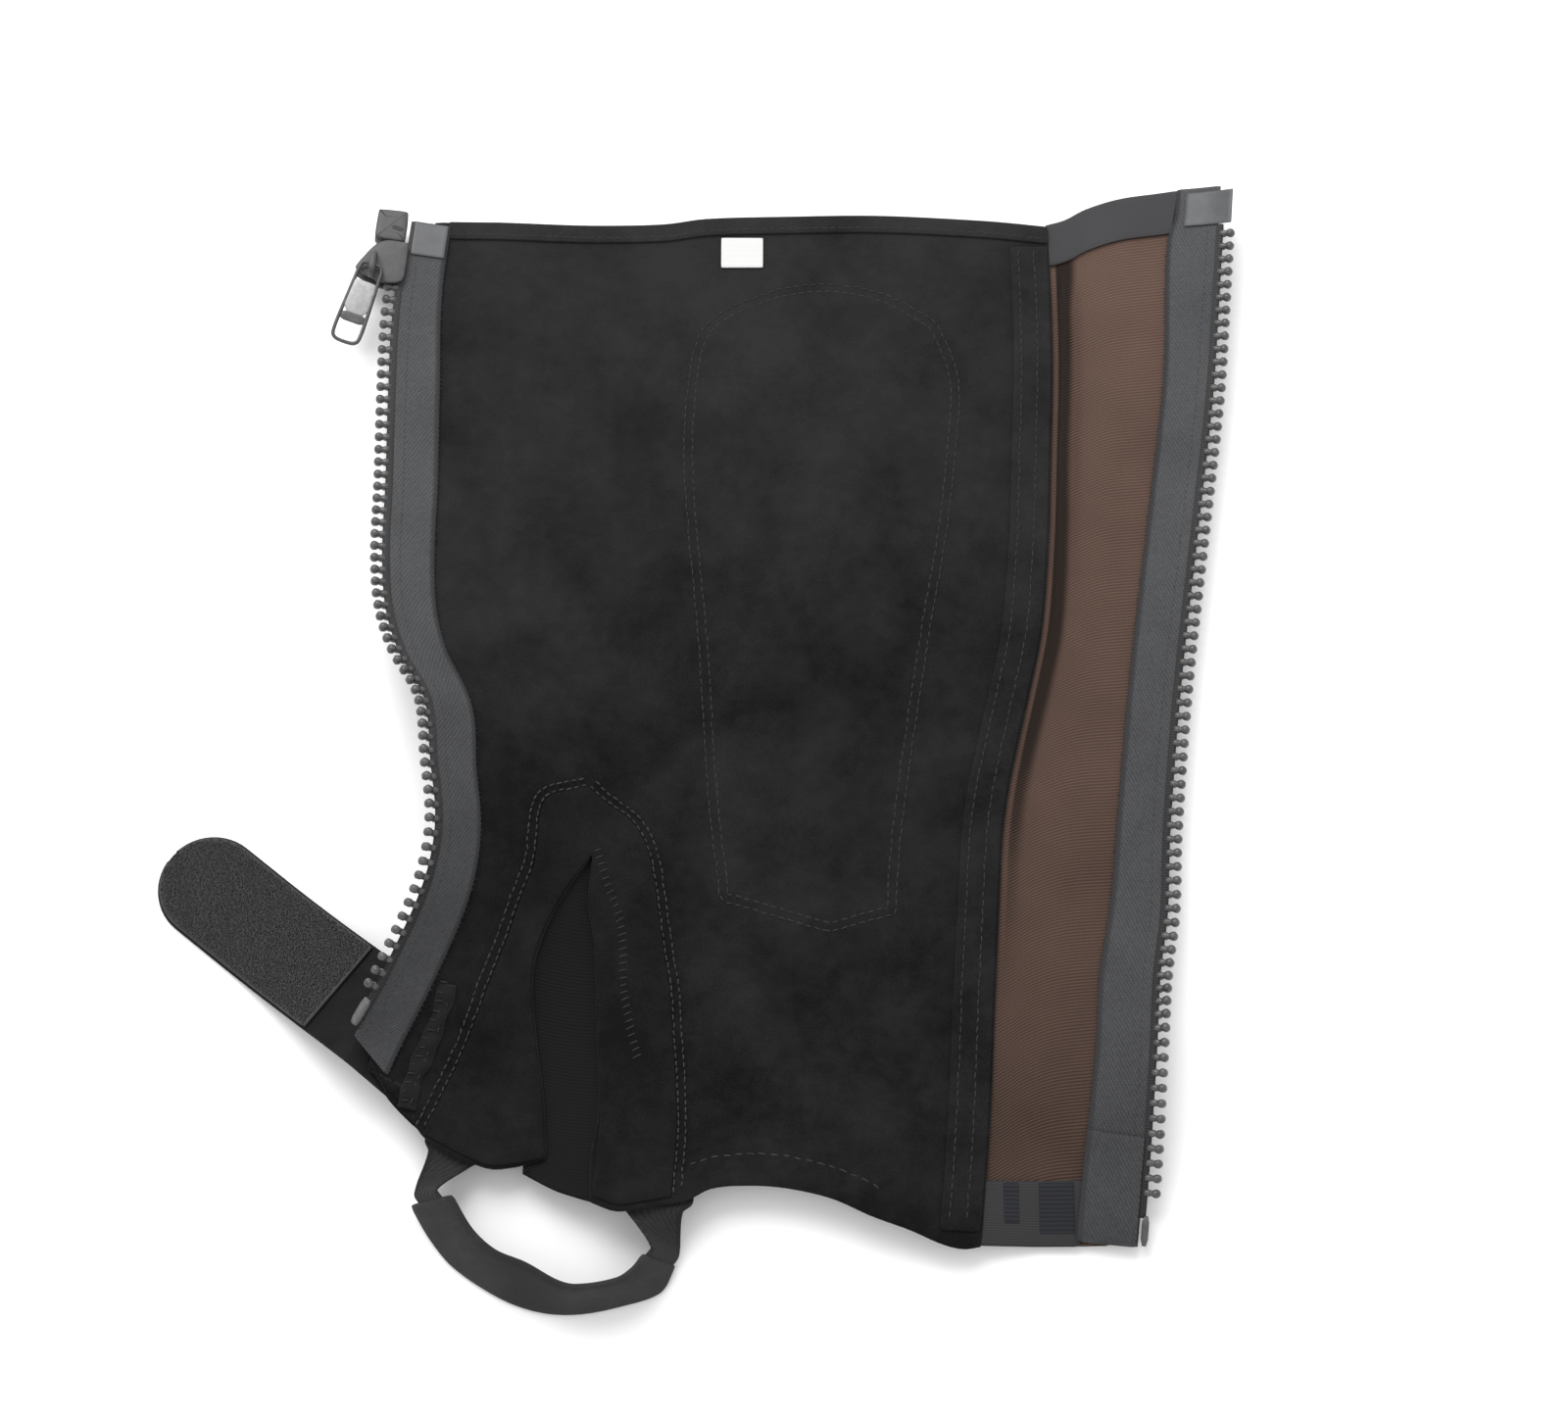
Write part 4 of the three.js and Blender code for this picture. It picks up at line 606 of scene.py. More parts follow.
HOOKS = moulded("hook_plastic", (0.021, 0.0203, 0.022), (0.036, 0.0346, 0.037), 0.7, grain=260.0)


def dress(piece, material, slot, *nodes):
    """Gives a piece its material and hides the solids it stands for. The slot is not used."""
    piece.data.materials.append(material)
    if nodes:
        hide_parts(*nodes)
    return piece


print("hard finishes ready")

# %% [markdown]
# The calf patch is a second layer of suede on the outer side that grips the saddle. It lies underneath
# here and shows only as a stitched outline. Its rounded top and pointed bottom could be cut out of the
# panel's grid, but a grid of its own, filled in between four border curves, has cleaner edges.

# %% Calf patch
def patch_line(rows):
    """Plan points of a patch table, whose shares are of the patch's own width and height."""
    return np.stack([HALF * PATCH_MIDDLE + PATCH_WIDTH * rows[:, 0],
                     y_of(PATCH_TOP) - PATCH_HEIGHT * rows[:, 1]], -1)


across, downward = np.linspace(0, 1, 34), np.linspace(0, 1, 76)
patch_plan = fill(walk(patch_line(PATCH_TOP_LINE), across), walk(patch_line(PATCH_BOTTOM), across, False),
                  walk(patch_line(PATCH_LEFT), downward), walk(patch_line(PATCH_RIGHT), downward))
calf_patch = dress(cloth("grip_patch", patch_plan, 0.0, UNDER_TOP), SUEDE, "suede", "calf_patch")
print("calf patch:", len(calf_patch.data.polygons), "faces")

# %% [markdown]
# The leg panel is one skin of suede with a slit for the ankle gusset. Cutting the slit with a boolean
# would leave ragged faces, so the panel is two grids that share one column from the top edge down to the
# slit's point and part below it. The patch's stitches pull it down in a narrow groove.

# %% Suede panel
def to_line(points, line):
    """Shortest distance from each point to a line of straight legs."""
    a, b = line[:-1], line[1:]
    leg = b - a
    t = ((points[..., None, :] - a) * leg).sum(-1) / (leg * leg).sum(-1)
    near = a + np.clip(t, 0, 1)[..., None] * leg
    return np.linalg.norm(points[..., None, :] - near, axis=-1).min(-1)


patch_ring = np.concatenate([patch_plan[:, 0], patch_plan[-1, 1:], patch_plan[::-1, -1][1:],
                             patch_plan[0, ::-1][1:]])


def stitched_relief(points):
    """The patch's stitching pulls the suede down along its outline in a narrow groove."""
    distance = to_line(points, patch_ring[::2])
    return -0.28 * np.exp(-(distance / 1.6) ** 2)


front_tape_downs = np.linspace(0.004, 0.838, 120)
rear_tape_downs = np.linspace(-0.019, REAR_END, 120)
suede_front = beside("front", TAPE - LAP, front_tape_downs)


def top_y(x):
    """The top edge's wavy line."""
    return y_of(0) + 1.5 * table(TOP_WAVE, 1, x / HALF)


def seam_point(down):
    """Plan points of the seam between suede and elastic."""
    return np.stack([HALF * table(SEAM, 1, down), y_of(down)], -1)


rows_to_slit, rows_below = 76, 36
slit = np.linspace(0, 1, rows_below + 1)[1:]
slit_x = SLIT_SIDE * HALF
shared_y = np.linspace(top_y(np.array(slit_x)), y_of(SLIT_DOWN), rows_to_slit)
shared = np.stack([np.full(rows_to_slit, slit_x), shared_y], -1)
mouth_front = walk(spots(MOUTH[:-1, [1, 0]]), slit)
mouth_rear = walk(np.concatenate([spots(MOUTH[:-1, [2, 0]]), spots(BOTTOM[-1:])]), slit)
rows = np.linspace(0, 1, rows_to_slit + rows_below)
front_left = walk(np.concatenate([suede_front, spots(ANKLE_CORNER[:1])]), rows)
front_left[0, 1] = top_y(front_left[0, 0])
front_across, rear_across = np.linspace(0, 1, 26), np.linspace(0, 1, 60)


def top_line(x0, x1, shares):
    """Points on the top edge at shares of the way from one x to another."""
    x = x0 + (x1 - x0) * shares
    return np.stack([x, top_y(x)], -1)


front_plan = fill(top_line(front_left[0, 0], slit_x, front_across), walk(spots(ANKLE_CORNER), front_across),
                  front_left, np.concatenate([shared, mouth_front]))
seam_x = HALF * table(SEAM, 1, 0.0)
seam_top = top_line(seam_x, seam_x, np.zeros(1))
seam_down = seam_point(np.linspace(0.01, 0.99, 40))
rear_right = walk(np.concatenate([seam_top, seam_down, spots(BOTTOM[:1])]), rows)
rear_plan = fill(top_line(slit_x, seam_x, rear_across), walk(spots(BOTTOM)[::-1], rear_across),
                 np.concatenate([shared, mouth_rear]), rear_right)


def leg_panel(name):
    """Both grids in one shell. The slit's two sides are separate columns below its point and one column
    above it, and the rim runs round the outside and up and down the slit."""
    n_front = front_plan[..., 0].size
    front_index = np.arange(n_front).reshape(front_plan.shape[:2])
    rear_index = n_front + np.arange(rear_plan[..., 0].size).reshape(rear_plan.shape[:2])
    rear_index[:rows_to_slit, 0] = front_index[:rows_to_slit, -1]
    plan = np.concatenate([front_plan.reshape(-1, 2), rear_plan.reshape(-1, 2)])
    middle, normal = over(plan[:, 0], plan[:, 1], (SUEDE_LOW + SUEDE_HIGH) / 2)
    middle[:, 2] += stitched_relief(plan)
    quads = np.concatenate([grid_quads(front_index), grid_quads(rear_index)])
    tip = rows_to_slit - 1
    border = np.concatenate([
        front_index[0, :-1], rear_index[0, :-1], rear_index[:-1, -1], rear_index[-1, :0:-1],
        rear_index[:tip:-1, 0], front_index[tip:-1, -1], front_index[-1, :0:-1], front_index[:0:-1, 0]])
    a, b, c, d = middle[quads].transpose(1, 0, 2)
    used = np.unique(quads)
    new = np.zeros(len(middle), int)
    new[used] = np.arange(len(used))
    wall = SUEDE_HIGH - SUEDE_LOW
    return shell(name, middle[used], normal[used], wall, new[quads], new[border], plan[used])


leg = dress(leg_panel("leg_panel"), SUEDE, "suede", "suede_panel")
print("leg panel:", len(leg.data.polygons), "faces")

# %% [markdown]
# Strips of suede finish the panel's edges: the hem turned over along the top, the facing that covers
# the seam beside the elastic, and the two strips either side of the gusset. They could be drawn into the
# panel as grooves, but on the real one they are separate layers with edges that catch the light.

# %% Hem and facings
tape_inner = beside("front", tape_width("front", front_tape_downs), front_tape_downs)
hem_x = np.linspace(tape_inner[0, 0] + GAP, HALF * table(SEAM, 1, 0.005), 90)
hem_top = np.stack([hem_x, top_y(hem_x)], -1)
hem_plan = ruled(hem_top, hem_top - [0, HEM], 7).transpose(1, 0, 2)
dress(cloth("turned_hem", hem_plan, EDGE_LOW, EDGE_HIGH), SUEDE_TURNED, "suede", "top_hem")

strip_downs = np.linspace(0.026, 0.985, 130)
strip_plan = ruled(seam_point(strip_downs) - [STRIP, 0], seam_point(strip_downs) - [0.6, 0], 10)
facing = dress(cloth("seam_facing", strip_plan, EDGE_LOW, EDGE_HIGH), SUEDE_TURNED, "suede", "rear_facing")


def gusset_strip(name, rows_kept, mouth_kept, bottom, column, sign, node_name):
    """The strip between the slit's side and the outer line, closed by its own lower edge."""
    outer = spots(FACING[:rows_kept][:, [column, 0]])
    outer[0, 0] = -0.542 * HALF + sign * GAP / 2
    inner = spots(MOUTH[:-1][:, [column, 0]]) + [sign * 0.5, 0]
    inner[0] = [slit_x + sign * GAP / 2, y_of(SLIT_DOWN)]
    inner = inner[:mouth_kept]
    lower = spots(bottom)
    outer = np.concatenate([outer, lower[:1]])
    inner = np.concatenate([inner[:-1], lower[-1:]])
    shares = np.linspace(0, 1, 60)
    width = np.linspace(0, 1, 12)
    plan = fill(walk(np.stack([outer[0], inner[0]]), width, False), walk(lower, width),
                walk(outer, shares), walk(inner, shares))
    print(name, "is", round(float(np.ptp(plan[..., 1]))), "mm long")
    return dress(cloth(name, plan, EDGE_LOW, EDGE_HIGH), SUEDE_GUSSET, "suede", node_name), plan


front_bottom = np.array([[-0.886, 0.902], [-0.750, 0.928], [-0.690, 0.927], [-0.626, 0.921]])
rear_bottom = np.array([[-0.340, 0.958], [-0.400, 0.962], [-0.455, 0.965], [-0.508, 0.957]])
strip_front, strip_front_plan = gusset_strip("gusset_strip_front", 10, len(MOUTH), front_bottom, 1, -1,
                                             "gusset_facing_front")
strip_rear, strip_rear_plan = gusset_strip("gusset_strip_rear", 11, 8, rear_bottom, 2, 1,
                                           "gusset_facing_rear")

# %% [markdown]
# Black elastic fills the slit, so that the ankle can bend. It is sewn on under the suede and reaches a
# lap's width past the slit on both sides. A plane under the slit would do from above, but would show
# from below, so it is cut to the gusset's own shape.

# %% Gusset elastic
gusset_downs = np.linspace(0.625, 0.945, 50)
above_slit = gusset_downs < SLIT_DOWN


def gusset_side(column, lap):
    """One side of the slit moved outward by the lap, and straight up above the slit's point."""
    side = np.stack([HALF * table(MOUTH, column, gusset_downs) + lap, y_of(gusset_downs)], -1)
    side[above_slit, 0] = side[~above_slit][0, 0]
    return side


gusset_left, gusset_right = gusset_side(1, -LAP), gusset_side(2, LAP)
gusset_low = spots(np.array([[gusset_left[-1, 0] / HALF, 0.935], [-0.60, 0.949], [-0.56, 0.955],
                             [gusset_right[-1, 0] / HALF, 0.966]]))
gusset_left[-1], gusset_right[-1] = gusset_low[0], gusset_low[-1]
gusset_width, gusset_way = np.linspace(0, 1, 26), np.linspace(0, 1, 50)
gusset_plan = fill(walk(np.stack([gusset_left[0], gusset_right[0]]), gusset_width),
                   walk(gusset_low, gusset_width),
                   walk(gusset_left, gusset_way), walk(gusset_right, gusset_way))
gusset = dress(cloth("gusset_knit", gusset_plan, 0.0, UNDER_TOP), ELASTIC_BLACK, "black_elastic",
               "gusset_elastic")
print("gusset elastic:", len(gusset.data.polygons), "faces")

# %% [markdown]
# The brown stretch panel is ribbed across. Beside the seam it has slackened into one long fold: a lit
# crest and a dark hollow behind it. A cloth simulation could make a fold, but not this one in this
# place, so it is a height added to the grid, with its columns set closer where the fold is steep.

# %% Stretch panel
def smooth_step(a, b, t):
    """0 before a, 1 after b and 3s squared less 2s cubed between them."""
    s = np.clip((t - a) / (b - a), 0, 1)
    return s * s * (3 - 2 * s)


def fold(points):
    """A deep narrow hollow beside the seam, a crest beyond it and a low swell after that, all faded at
    both ends of the fold."""
    down = 0.5 - points[..., 1] / HEIGHT
    s = points[..., 0] - HALF * table(SEAM, 1, down)
    amount = smooth_step(0.03, 0.10, down) * (1 - smooth_step(0.22, 0.50, down))
    crest = 3.2 * smooth_step(2.7, 4.5, s) * (1 - smooth_step(4.8, 11.5, s))
    swell = 0.6 * np.exp(-((s - 19) / 5.0) ** 2)
    return amount * (crest + swell)


elastic_right = beside("rear", TAPE - LAP, rear_tape_downs)


def elastic_top_y(x):
    """The elastic's own top edge."""
    return y_of(0) + 10.0 * table(ELASTIC_TOP, 1, x / HALF)


shares = np.linspace(0, 1, 160)
width = np.concatenate([np.linspace(0, 0.24, 42), np.linspace(0.24, 1, 38)[1:]])
elastic_left = seam_point(np.linspace(0.0, REAR_END, 160)) - [LAP, 0]
elastic_left[0, 1] = min(top_y(elastic_left[0, 0]), elastic_top_y(elastic_left[0, 0]))
elastic_edge = walk(elastic_right, shares)
elastic_edge[0, 1] = elastic_top_y(elastic_edge[0, 0])
u = width[None, :, None]
elastic_plan = (1 - u) * elastic_left[:, None] + u * elastic_edge[:, None]
top_shift = elastic_top_y(elastic_plan[0, :, 0]) - elastic_plan[0, :, 1]
fade = np.clip(1 - np.arange(160) / 20, 0, 1)[:, None]
top_shift = np.where(width < 0.12, 0, top_shift) * smooth_step(0.1, 0.25, width)
elastic_plan[..., 1] += fade * top_shift[None]
stretch = dress(cloth("stretch_panel", elastic_plan, 0.0, UNDER_TOP, fold(elastic_plan)), ELASTIC,
                "brown_elastic", "elastic_panel")
print("fold stands", round(float(fold(elastic_plan).max()), 1), "mm off the panel")

# %% [markdown]
# Grey bands close the stretch panel at both ends. The lower one has two patches of coarser ribs in the
# same weave. They could be colour alone, but the ribs stand a little proud and catch the light, so they
# are thin pieces on the band.

# %% Bands at its two ends
rear_tape_inner = beside("rear", tape_width("rear", rear_tape_downs), rear_tape_downs)


def band(name, lower, upper, node_name):
    """A strip across the elastic between the suede's edge and the tape."""
    def line(edge):
        """The edge's curve, ended where it meets the tape, which is found in three steps."""
        y = edge(np.array(0.6 * HALF))
        x0 = HALF * table(SEAM, 1, 0.5 - y / HEIGHT) + GAP
        for _ in range(3):
            x1 = np.interp(-y, -rear_tape_inner[:, 1], rear_tape_inner[:, 0]) - GAP
            y = edge(np.array(x1))
        x = np.linspace(x0, x1, 30)
        return np.stack([x, edge(x)], -1)

    plan = ruled(line(upper), line(lower), 10).transpose(1, 0, 2)
    return dress(cloth(name, plan, REAR_TAPE_LOW, REAR_TAPE_HIGH), BAND, "black_elastic", node_name)


def patch_of_ribs(name, x0, x1, y0, y1):
    """A rectangle of coarser ribs that lies on the band; it is part of the same elastic."""
    x, y = np.meshgrid(np.linspace(x0, x1, 12), np.linspace(y1, y0, 14))
    piece = cloth(name, np.stack([x, y], -1), REAR_TAPE_HIGH - 0.2, REAR_TAPE_HIGH + 0.25)
    return dress(piece, BAND_RIBBED, "black_elastic")


top_band = band("band_top", lambda x: elastic_top_y(x) - 14.5, elastic_top_y, "elastic_top_band")
low_band = band("band_bottom", lambda x: y_of(REAR_END) + 0 * x, lambda x: y_of(REAR_END) + 19.0 + 0 * x,
                "elastic_bottom_band")
patch_of_ribs("band_ribs_left", 55.1, 59.3, -164.0, -152.0)
ribs_right = patch_of_ribs("band_ribs_right", 65.9, 76.2, -167.0, -152.0)
print("bands and ribs ready")

# %% [markdown]
# Zip tape is a narrow twill ribbon with a cord along its outer edge, which the teeth are moulded round.
# Clear film stiffens its upper ends, and a patch of the same tape doubles the lower corner. A curve with
# a flat profile would twist on this edge. A grid between two lines beside the edge keeps the tape flat
# on the ground and as wide as it was woven.

# %% Tapes, film and tab
def tape_grid(edge, downs, near, far, across=14):
    """Rows from the far to the near distance inside a zip edge."""
    return ruled(beside(edge, far, downs), beside(edge, near, downs), across)


front_root_downs = np.linspace(0.004, 0.815, 120)
front_tape_plan = ruled(tape_inner, beside("front", 1.3, front_root_downs), 14)
front_tape = dress(cloth("tape_front", front_tape_plan, STRIP_LOW, FRONT_TAPE_HIGH), TAPE_CLOTH, "zip_tape",
                   "zip_tape_front")
rear_cloth_downs = np.linspace(-0.0235, REAR_END, 120)
rear_cloth_inner = beside("rear", tape_width("rear", rear_cloth_downs), rear_cloth_downs)
rear_tape_plan = ruled(rear_cloth_inner, beside("rear", 0.9, rear_cloth_downs), 14)
rear_tape = dress(cloth("tape_rear", rear_tape_plan, REAR_TAPE_LOW, REAR_TAPE_HIGH), TAPE_CLOTH, "zip_tape",
                  "zip_tape_rear")


def on_tape(name, edge, start, length, near, width, low, wall, material, slot, node_name):
    """A rectangle that lies on a tape, from its start down and from its near side inward."""
    downs = np.linspace(start, start + length / HEIGHT, 16)
    plan = tape_grid(edge, downs, near, near + width)
    return dress(cloth(name, plan, low, low + wall), material, slot, node_name)


film_front = on_tape("film_front", "front", 0.005, 11.5, 2.4, 10.9, FRONT_TAPE_HIGH + GAP, 0.4, FILM,
                     "film", "zip_film_front")
film_rear = on_tape("film_rear", "rear", -0.018, 11.5, -3.6, 16.0, REAR_TAPE_HIGH + GAP, 0.4, FILM,
                    "film", "zip_film_rear")
tab = on_tape("tab_rear", "rear", REAR_END - 31 / HEIGHT, 31, 1.4, 17.2, REAR_TAPE_HIGH + GAP, 0.8,
              TAPE_CLOTH, "zip_tape", "zip_tab_rear")
print("tapes, film and tab ready")

# %% [markdown]
# A small woven label is sewn in under the hem. A plain rectangle laid on top would float over the waves
# of the suede, so it is a small grid on the same ground. It is left bare.

# %% Label
LABEL_WIDE, LABEL_LONG = 13.5, 10.5
label_left = -0.191 * HALF - LABEL_WIDE / 2
label_top = top_y(np.array(label_left)) - HEM - 1.8
label_x, label_y = np.meshgrid(np.linspace(label_left, label_left + LABEL_WIDE, 14),
                               np.linspace(label_top, label_top - LABEL_LONG, 12))
label = dress(cloth("bare_label", np.stack([label_x, label_y], -1), STRIP_LOW, STRIP_LOW + 0.6), LABEL,
              "label", "size_label")
print("label is", LABEL_WIDE, "by", LABEL_LONG, "mm")

# %% [markdown]
# Teeth are one small moulded shape, repeated: a foot that grips the tape's cord, a narrow neck and a
# round head. An array modifier along a curve would shear them in the bends, so each tooth is placed on
# the edge's own axes, and the whole row is one array of copies.

# %% Teeth
def stack(sections, sides):
    """Closed form from sections (out, half width, half height): each is a ring of points on a rounded
    rectangle, and the two ends close in a point."""
    angle = np.arange(sides) * 2 * np.pi / sides + np.pi / sides
    ring = np.stack([np.sign(np.cos(angle)) * np.abs(np.cos(angle)) ** 0.7,
                     np.sign(np.sin(angle)) * np.abs(np.sin(angle)) ** 0.7], -1)
    sections = np.asarray(sections, float)
    points = np.stack([np.repeat(sections[:, :1], sides, 1),
                       sections[:, 1:2] * ring[:, 0], sections[:, 2:3] * ring[:, 1]], -1).reshape(-1, 3)
    index = np.arange(len(sections) * sides).reshape(-1, sides)
    nxt = np.roll(index, -1, 1)
    faces = np.stack([index[:-1], nxt[:-1], nxt[1:], index[1:]], -1).reshape(-1, 4)
    ends = [list(index[0, ::-1]), list(index[-1])]
    return points, faces, ends


def copies(template, faces, ends, origin, x_axis, y_axis, z_axis):
    """Each copy's point is its origin plus the template's x, y and z along that copy's own axes."""
    points = (origin[:, None] + template[None, :, :1] * x_axis[:, None]
              + template[None, :, 1:2] * y_axis[:, None] + template[None, :, 2:] * z_axis[:, None])
    start = (np.arange(len(origin)) * len(template))[:, None, None]
    all_faces = (faces[None] + start).reshape(-1, faces.shape[1]).tolist()
    for end in ends:
        all_faces += (np.array(end)[None] + start[:, 0]).tolist()
    return points.reshape(-1, 3), all_faces


def way_along(edge, down0, down1):
    """The way along a zip edge, summed in 1199 steps, for each share of the height."""
    downs = np.linspace(down0, down1, 1200)
    points = edge_frame(edge, downs)[0]
    return downs, np.append(0, np.cumsum(np.linalg.norm(np.diff(points, axis=0), axis=1)))


TOOTH_SECTIONS = [(0.1, 0.8, 0.9), (0.5, 1.15, 1.35), (1.8, 1.1, 1.35), (2.3, 0.86, 1.05),
                  (2.7, 0.95, 1.15), (3.15, 1.22, 1.45), (3.8, 1.37, 1.55), (4.45, 1.3, 1.45),
                  (4.95, 0.88, 1.0), (5.2, 0.45, 0.5)]


TOOTH_PITCH = 4.55


def tooth_row(name, edge, down0, down1, node_name):
    """Teeth a pitch apart along the edge, as many as fit between its two ends."""
    downs, way = way_along(edge, down0, down1)
    middles = (np.arange(int(way[-1] / TOOTH_PITCH)) + 0.5) * TOOTH_PITCH
    here, along, out, up = edge_frame(edge, np.interp(middles, way, downs))
    side = np.cross(up, out)
    template, faces, ends = stack(TOOTH_SECTIONS, 8)
    points, faces = copies(template, faces, ends, here + out * 0.05, out, side, up)
    row = put(name, points, faces)
    print(name, "has", len(middles), "teeth")
    return dress(row, TOOTH, "zip_teeth", node_name)


SLIDER_DOWN = 0.052
tooth_row("teeth_front", "front", SLIDER_DOWN - 3.24 / HEIGHT, 0.782, "zip_teeth_front")
tooth_row("teeth_rear", "rear", -0.018 + 12.7 / HEIGHT, REAR_END - 10.2 / HEIGHT, "zip_teeth_rear")

# %% [markdown]
# The teeth are moulded round a cord that is woven into the tape's edge. A curve with a bevel could make
# it, but a tube of rings, each told which way is up, serves the bail and the pull's rim as well.

# %% Tube and cord
def tube(name, path, up, half_width, half_height, sides=10, closed=False, power=1.0, body="chap"):
    """A rounded section carried along a path: at each point the section stands square to the path, with
    one axis as near as it can be to the given up direction."""
    if closed:
        along = unit(np.roll(path, -1, 0) - np.roll(path, 1, 0))
    else:
        along = unit(np.gradient(path, axis=0))
    side = unit(np.cross(along, up))
    lift = np.cross(side, along)
    angle = np.arange(sides) * 2 * np.pi / sides
    c, s = np.cos(angle), np.sin(angle)
    c, s = np.sign(c) * np.abs(c) ** power, np.sign(s) * np.abs(s) ** power
    width = np.broadcast_to(half_width, len(path))[:, None, None]
    tall = np.broadcast_to(half_height, len(path))[:, None, None]
    rings = path[:, None] + width * c[None, :, None] * side[:, None] + tall * s[None, :, None] * lift[:, None]
    index = np.arange(len(path) * sides).reshape(len(path), sides)
    if closed:
        index = np.concatenate([index, index[:1]])
    nxt = np.roll(index, -1, 1)
    faces = np.stack([index[:-1], index[1:], nxt[1:], nxt[:-1]], -1).reshape(-1, 4).tolist()
    if not closed:
        faces += [index[0].tolist(), index[-1, ::-1].tolist()]
    way = np.append(0, np.cumsum(np.linalg.norm(np.diff(path, axis=0), axis=1)))
    uv = np.stack(np.broadcast_arrays(np.arange(sides)[None] * 0.6, way[:, None]), -1).reshape(-1, 2)
    return put(name, rings.reshape(-1, 3), faces, uv, body=body)


def edge_cord(name, edge, down0, down1):
    """A slightly flat tube along a zip edge."""
    here, along, out, up = edge_frame(edge, np.linspace(down0, down1, 260))
    cord = tube(name, here + out * 0.05, up, 1.3, 1.0, 12)
    return dress(cord, TAPE_CORD, "zip_tape")


edge_cord("tape_cord_front", "front", 0.042, 0.800)
edge_cord("tape_cord_rear", "rear", 0.016, 0.972)
print("edge cords ready")

# %% [markdown]
# Hard zip parts are cast or stamped, so each is an outline with soft edges. A cube with a bevel modifier
# would give the edge, but not the outline. A slab repeats its rounded outline at several heights and
# moves it in a little at each face, which is the edge that paint leaves.

# %% Slabs
def rounded(points, times=3):
    """Corner cutting: each leg keeps its middle half, and the cut is made again on the new legs."""
    points = np.asarray(points, float)
    for _ in range(times):
        nxt = np.roll(points, -1, 0)
        points = np.stack([0.78 * points + 0.22 * nxt, 0.22 * points + 0.78 * nxt], 1).reshape(-1, 2)
    return points


def zip_axes(edge, down, out):
    """Origin and axes of a hard piece on a zip: x toward the tape's side, y up the zip, z off the tape."""
    here, along, away, up = edge_frame(edge, np.array([down]))
    return here[0] + out * away[0], np.stack([np.cross(-along[0], up[0]), -along[0], up[0]])


def slab(name, outline, low, high, place, bevel=0.35, dome=0.0, body="chap"):
    """An outline, turning left, at six heights between low and high: moved inward by the bevel at both
    faces and following a quarter of a circle to the full outline, then closed by a ring that may rise
    to a dome and a flat lid."""
    origin, axes = place
    way = unit(np.roll(outline, -1, 0) - np.roll(outline, 1, 0))
    inward = np.stack([-way[:, 1], way[:, 0]], -1)
    turn = np.array([0.0, np.pi / 6, np.pi / 3, np.pi / 2])
    inset = bevel * np.concatenate([1 - np.sin(turn), 1 - np.sin(turn[::-1])])
    height = np.concatenate([low + bevel * (1 - np.cos(turn)), high - bevel * (1 - np.cos(turn[::-1]))])
    plan = outline[None] + inset[:, None, None] * inward[None]
    lid = plan[-1].mean(0) + 0.6 * (plan[-1] - plan[-1].mean(0))
    plan = np.concatenate([plan, lid[None]])
    height = np.append(height, high + dome)
    rings = np.concatenate([plan, np.broadcast_to(height[:, None, None], plan.shape[:2] + (1,))], -1)
    index = np.arange(rings[..., 0].size).reshape(rings.shape[:2])
    nxt = np.roll(index, -1, 1)
    faces = np.stack([index[:-1], nxt[:-1], nxt[1:], index[1:]], -1).reshape(-1, 4).tolist()
    faces += [index[0, ::-1].tolist(), index[-1].tolist()]
    return put(name, origin + rings.reshape(-1, 3) @ axes, faces, body=body)


def oblong(width, length, x=0.0, y=0.0, turn=0.0):
    """Corners of a rectangle, turning left from its lower left one."""
    corners = np.array([[-1, -1], [1, -1], [1, 1], [-1, 1]]) * [width / 2, length / 2]
    c, s = math.cos(turn), math.sin(turn)
    return corners @ np.array([[c, s], [-s, c]]) + [x, y]


print("slab helpers ready")

# %% [markdown]
# The slider is cast in one: two plates with a wedge between them, wide where the rows come in apart, low
# walls at both sides and a bail that holds the pull. Modelling all of it as one form would need a
# boolean, so it is made of slabs that touch. The box above it holds the other row's pin.

# %% Slider and box
SLIDER_HALF, SLIDER_LONG = 8.3, 16.2
SLIDER_OUTLINE = np.array([
    [-0.19, 0.92], [-1.00, -0.42], [-0.95, -0.58], [-0.58, -0.76], [0.08, -1.00], [0.62, -0.97],
    [0.92, -0.84], [1.00, -0.55], [1.00, 0.84], [0.92, 0.94]]) * [SLIDER_HALF, SLIDER_LONG / 2]
SLIDER_OUT = 7.0
slider_place = zip_axes("front", SLIDER_DOWN, SLIDER_OUT)
plate = rounded(SLIDER_OUTLINE)
wedge = rounded(oblong(3.0, 4.6, 0, -4.4), 2)
dress(slab("slider_top", plate, 1.95, 3.25, slider_place, 0.55, 0.12), SLIDER, "gunmetal", "zip_slider")
dress(slab("slider_under", plate, -3.25, -1.95, slider_place, 0.45), SLIDER, "gunmetal")
dress(slab("slider_wedge", wedge, -1.97, 1.97, slider_place, 0.1), SLIDER, "gunmetal")


def plate_flange(name, a, b):
    """A low wall under one side of the plates, 1.2 mm thick, with room for the tape in its middle."""
    way = (b - a) / np.linalg.norm(b - a)
    inward = np.array([-way[1], way[0]]) * 1.2
    corners = np.array([a, b, b + inward, a + inward])
    for part, low, high in (("_upper", 0.97, 2.0), ("_lower", -2.0, -0.97)):
        dress(slab(name + part, corners, low, high, slider_place, 0.1), SLIDER, "gunmetal")


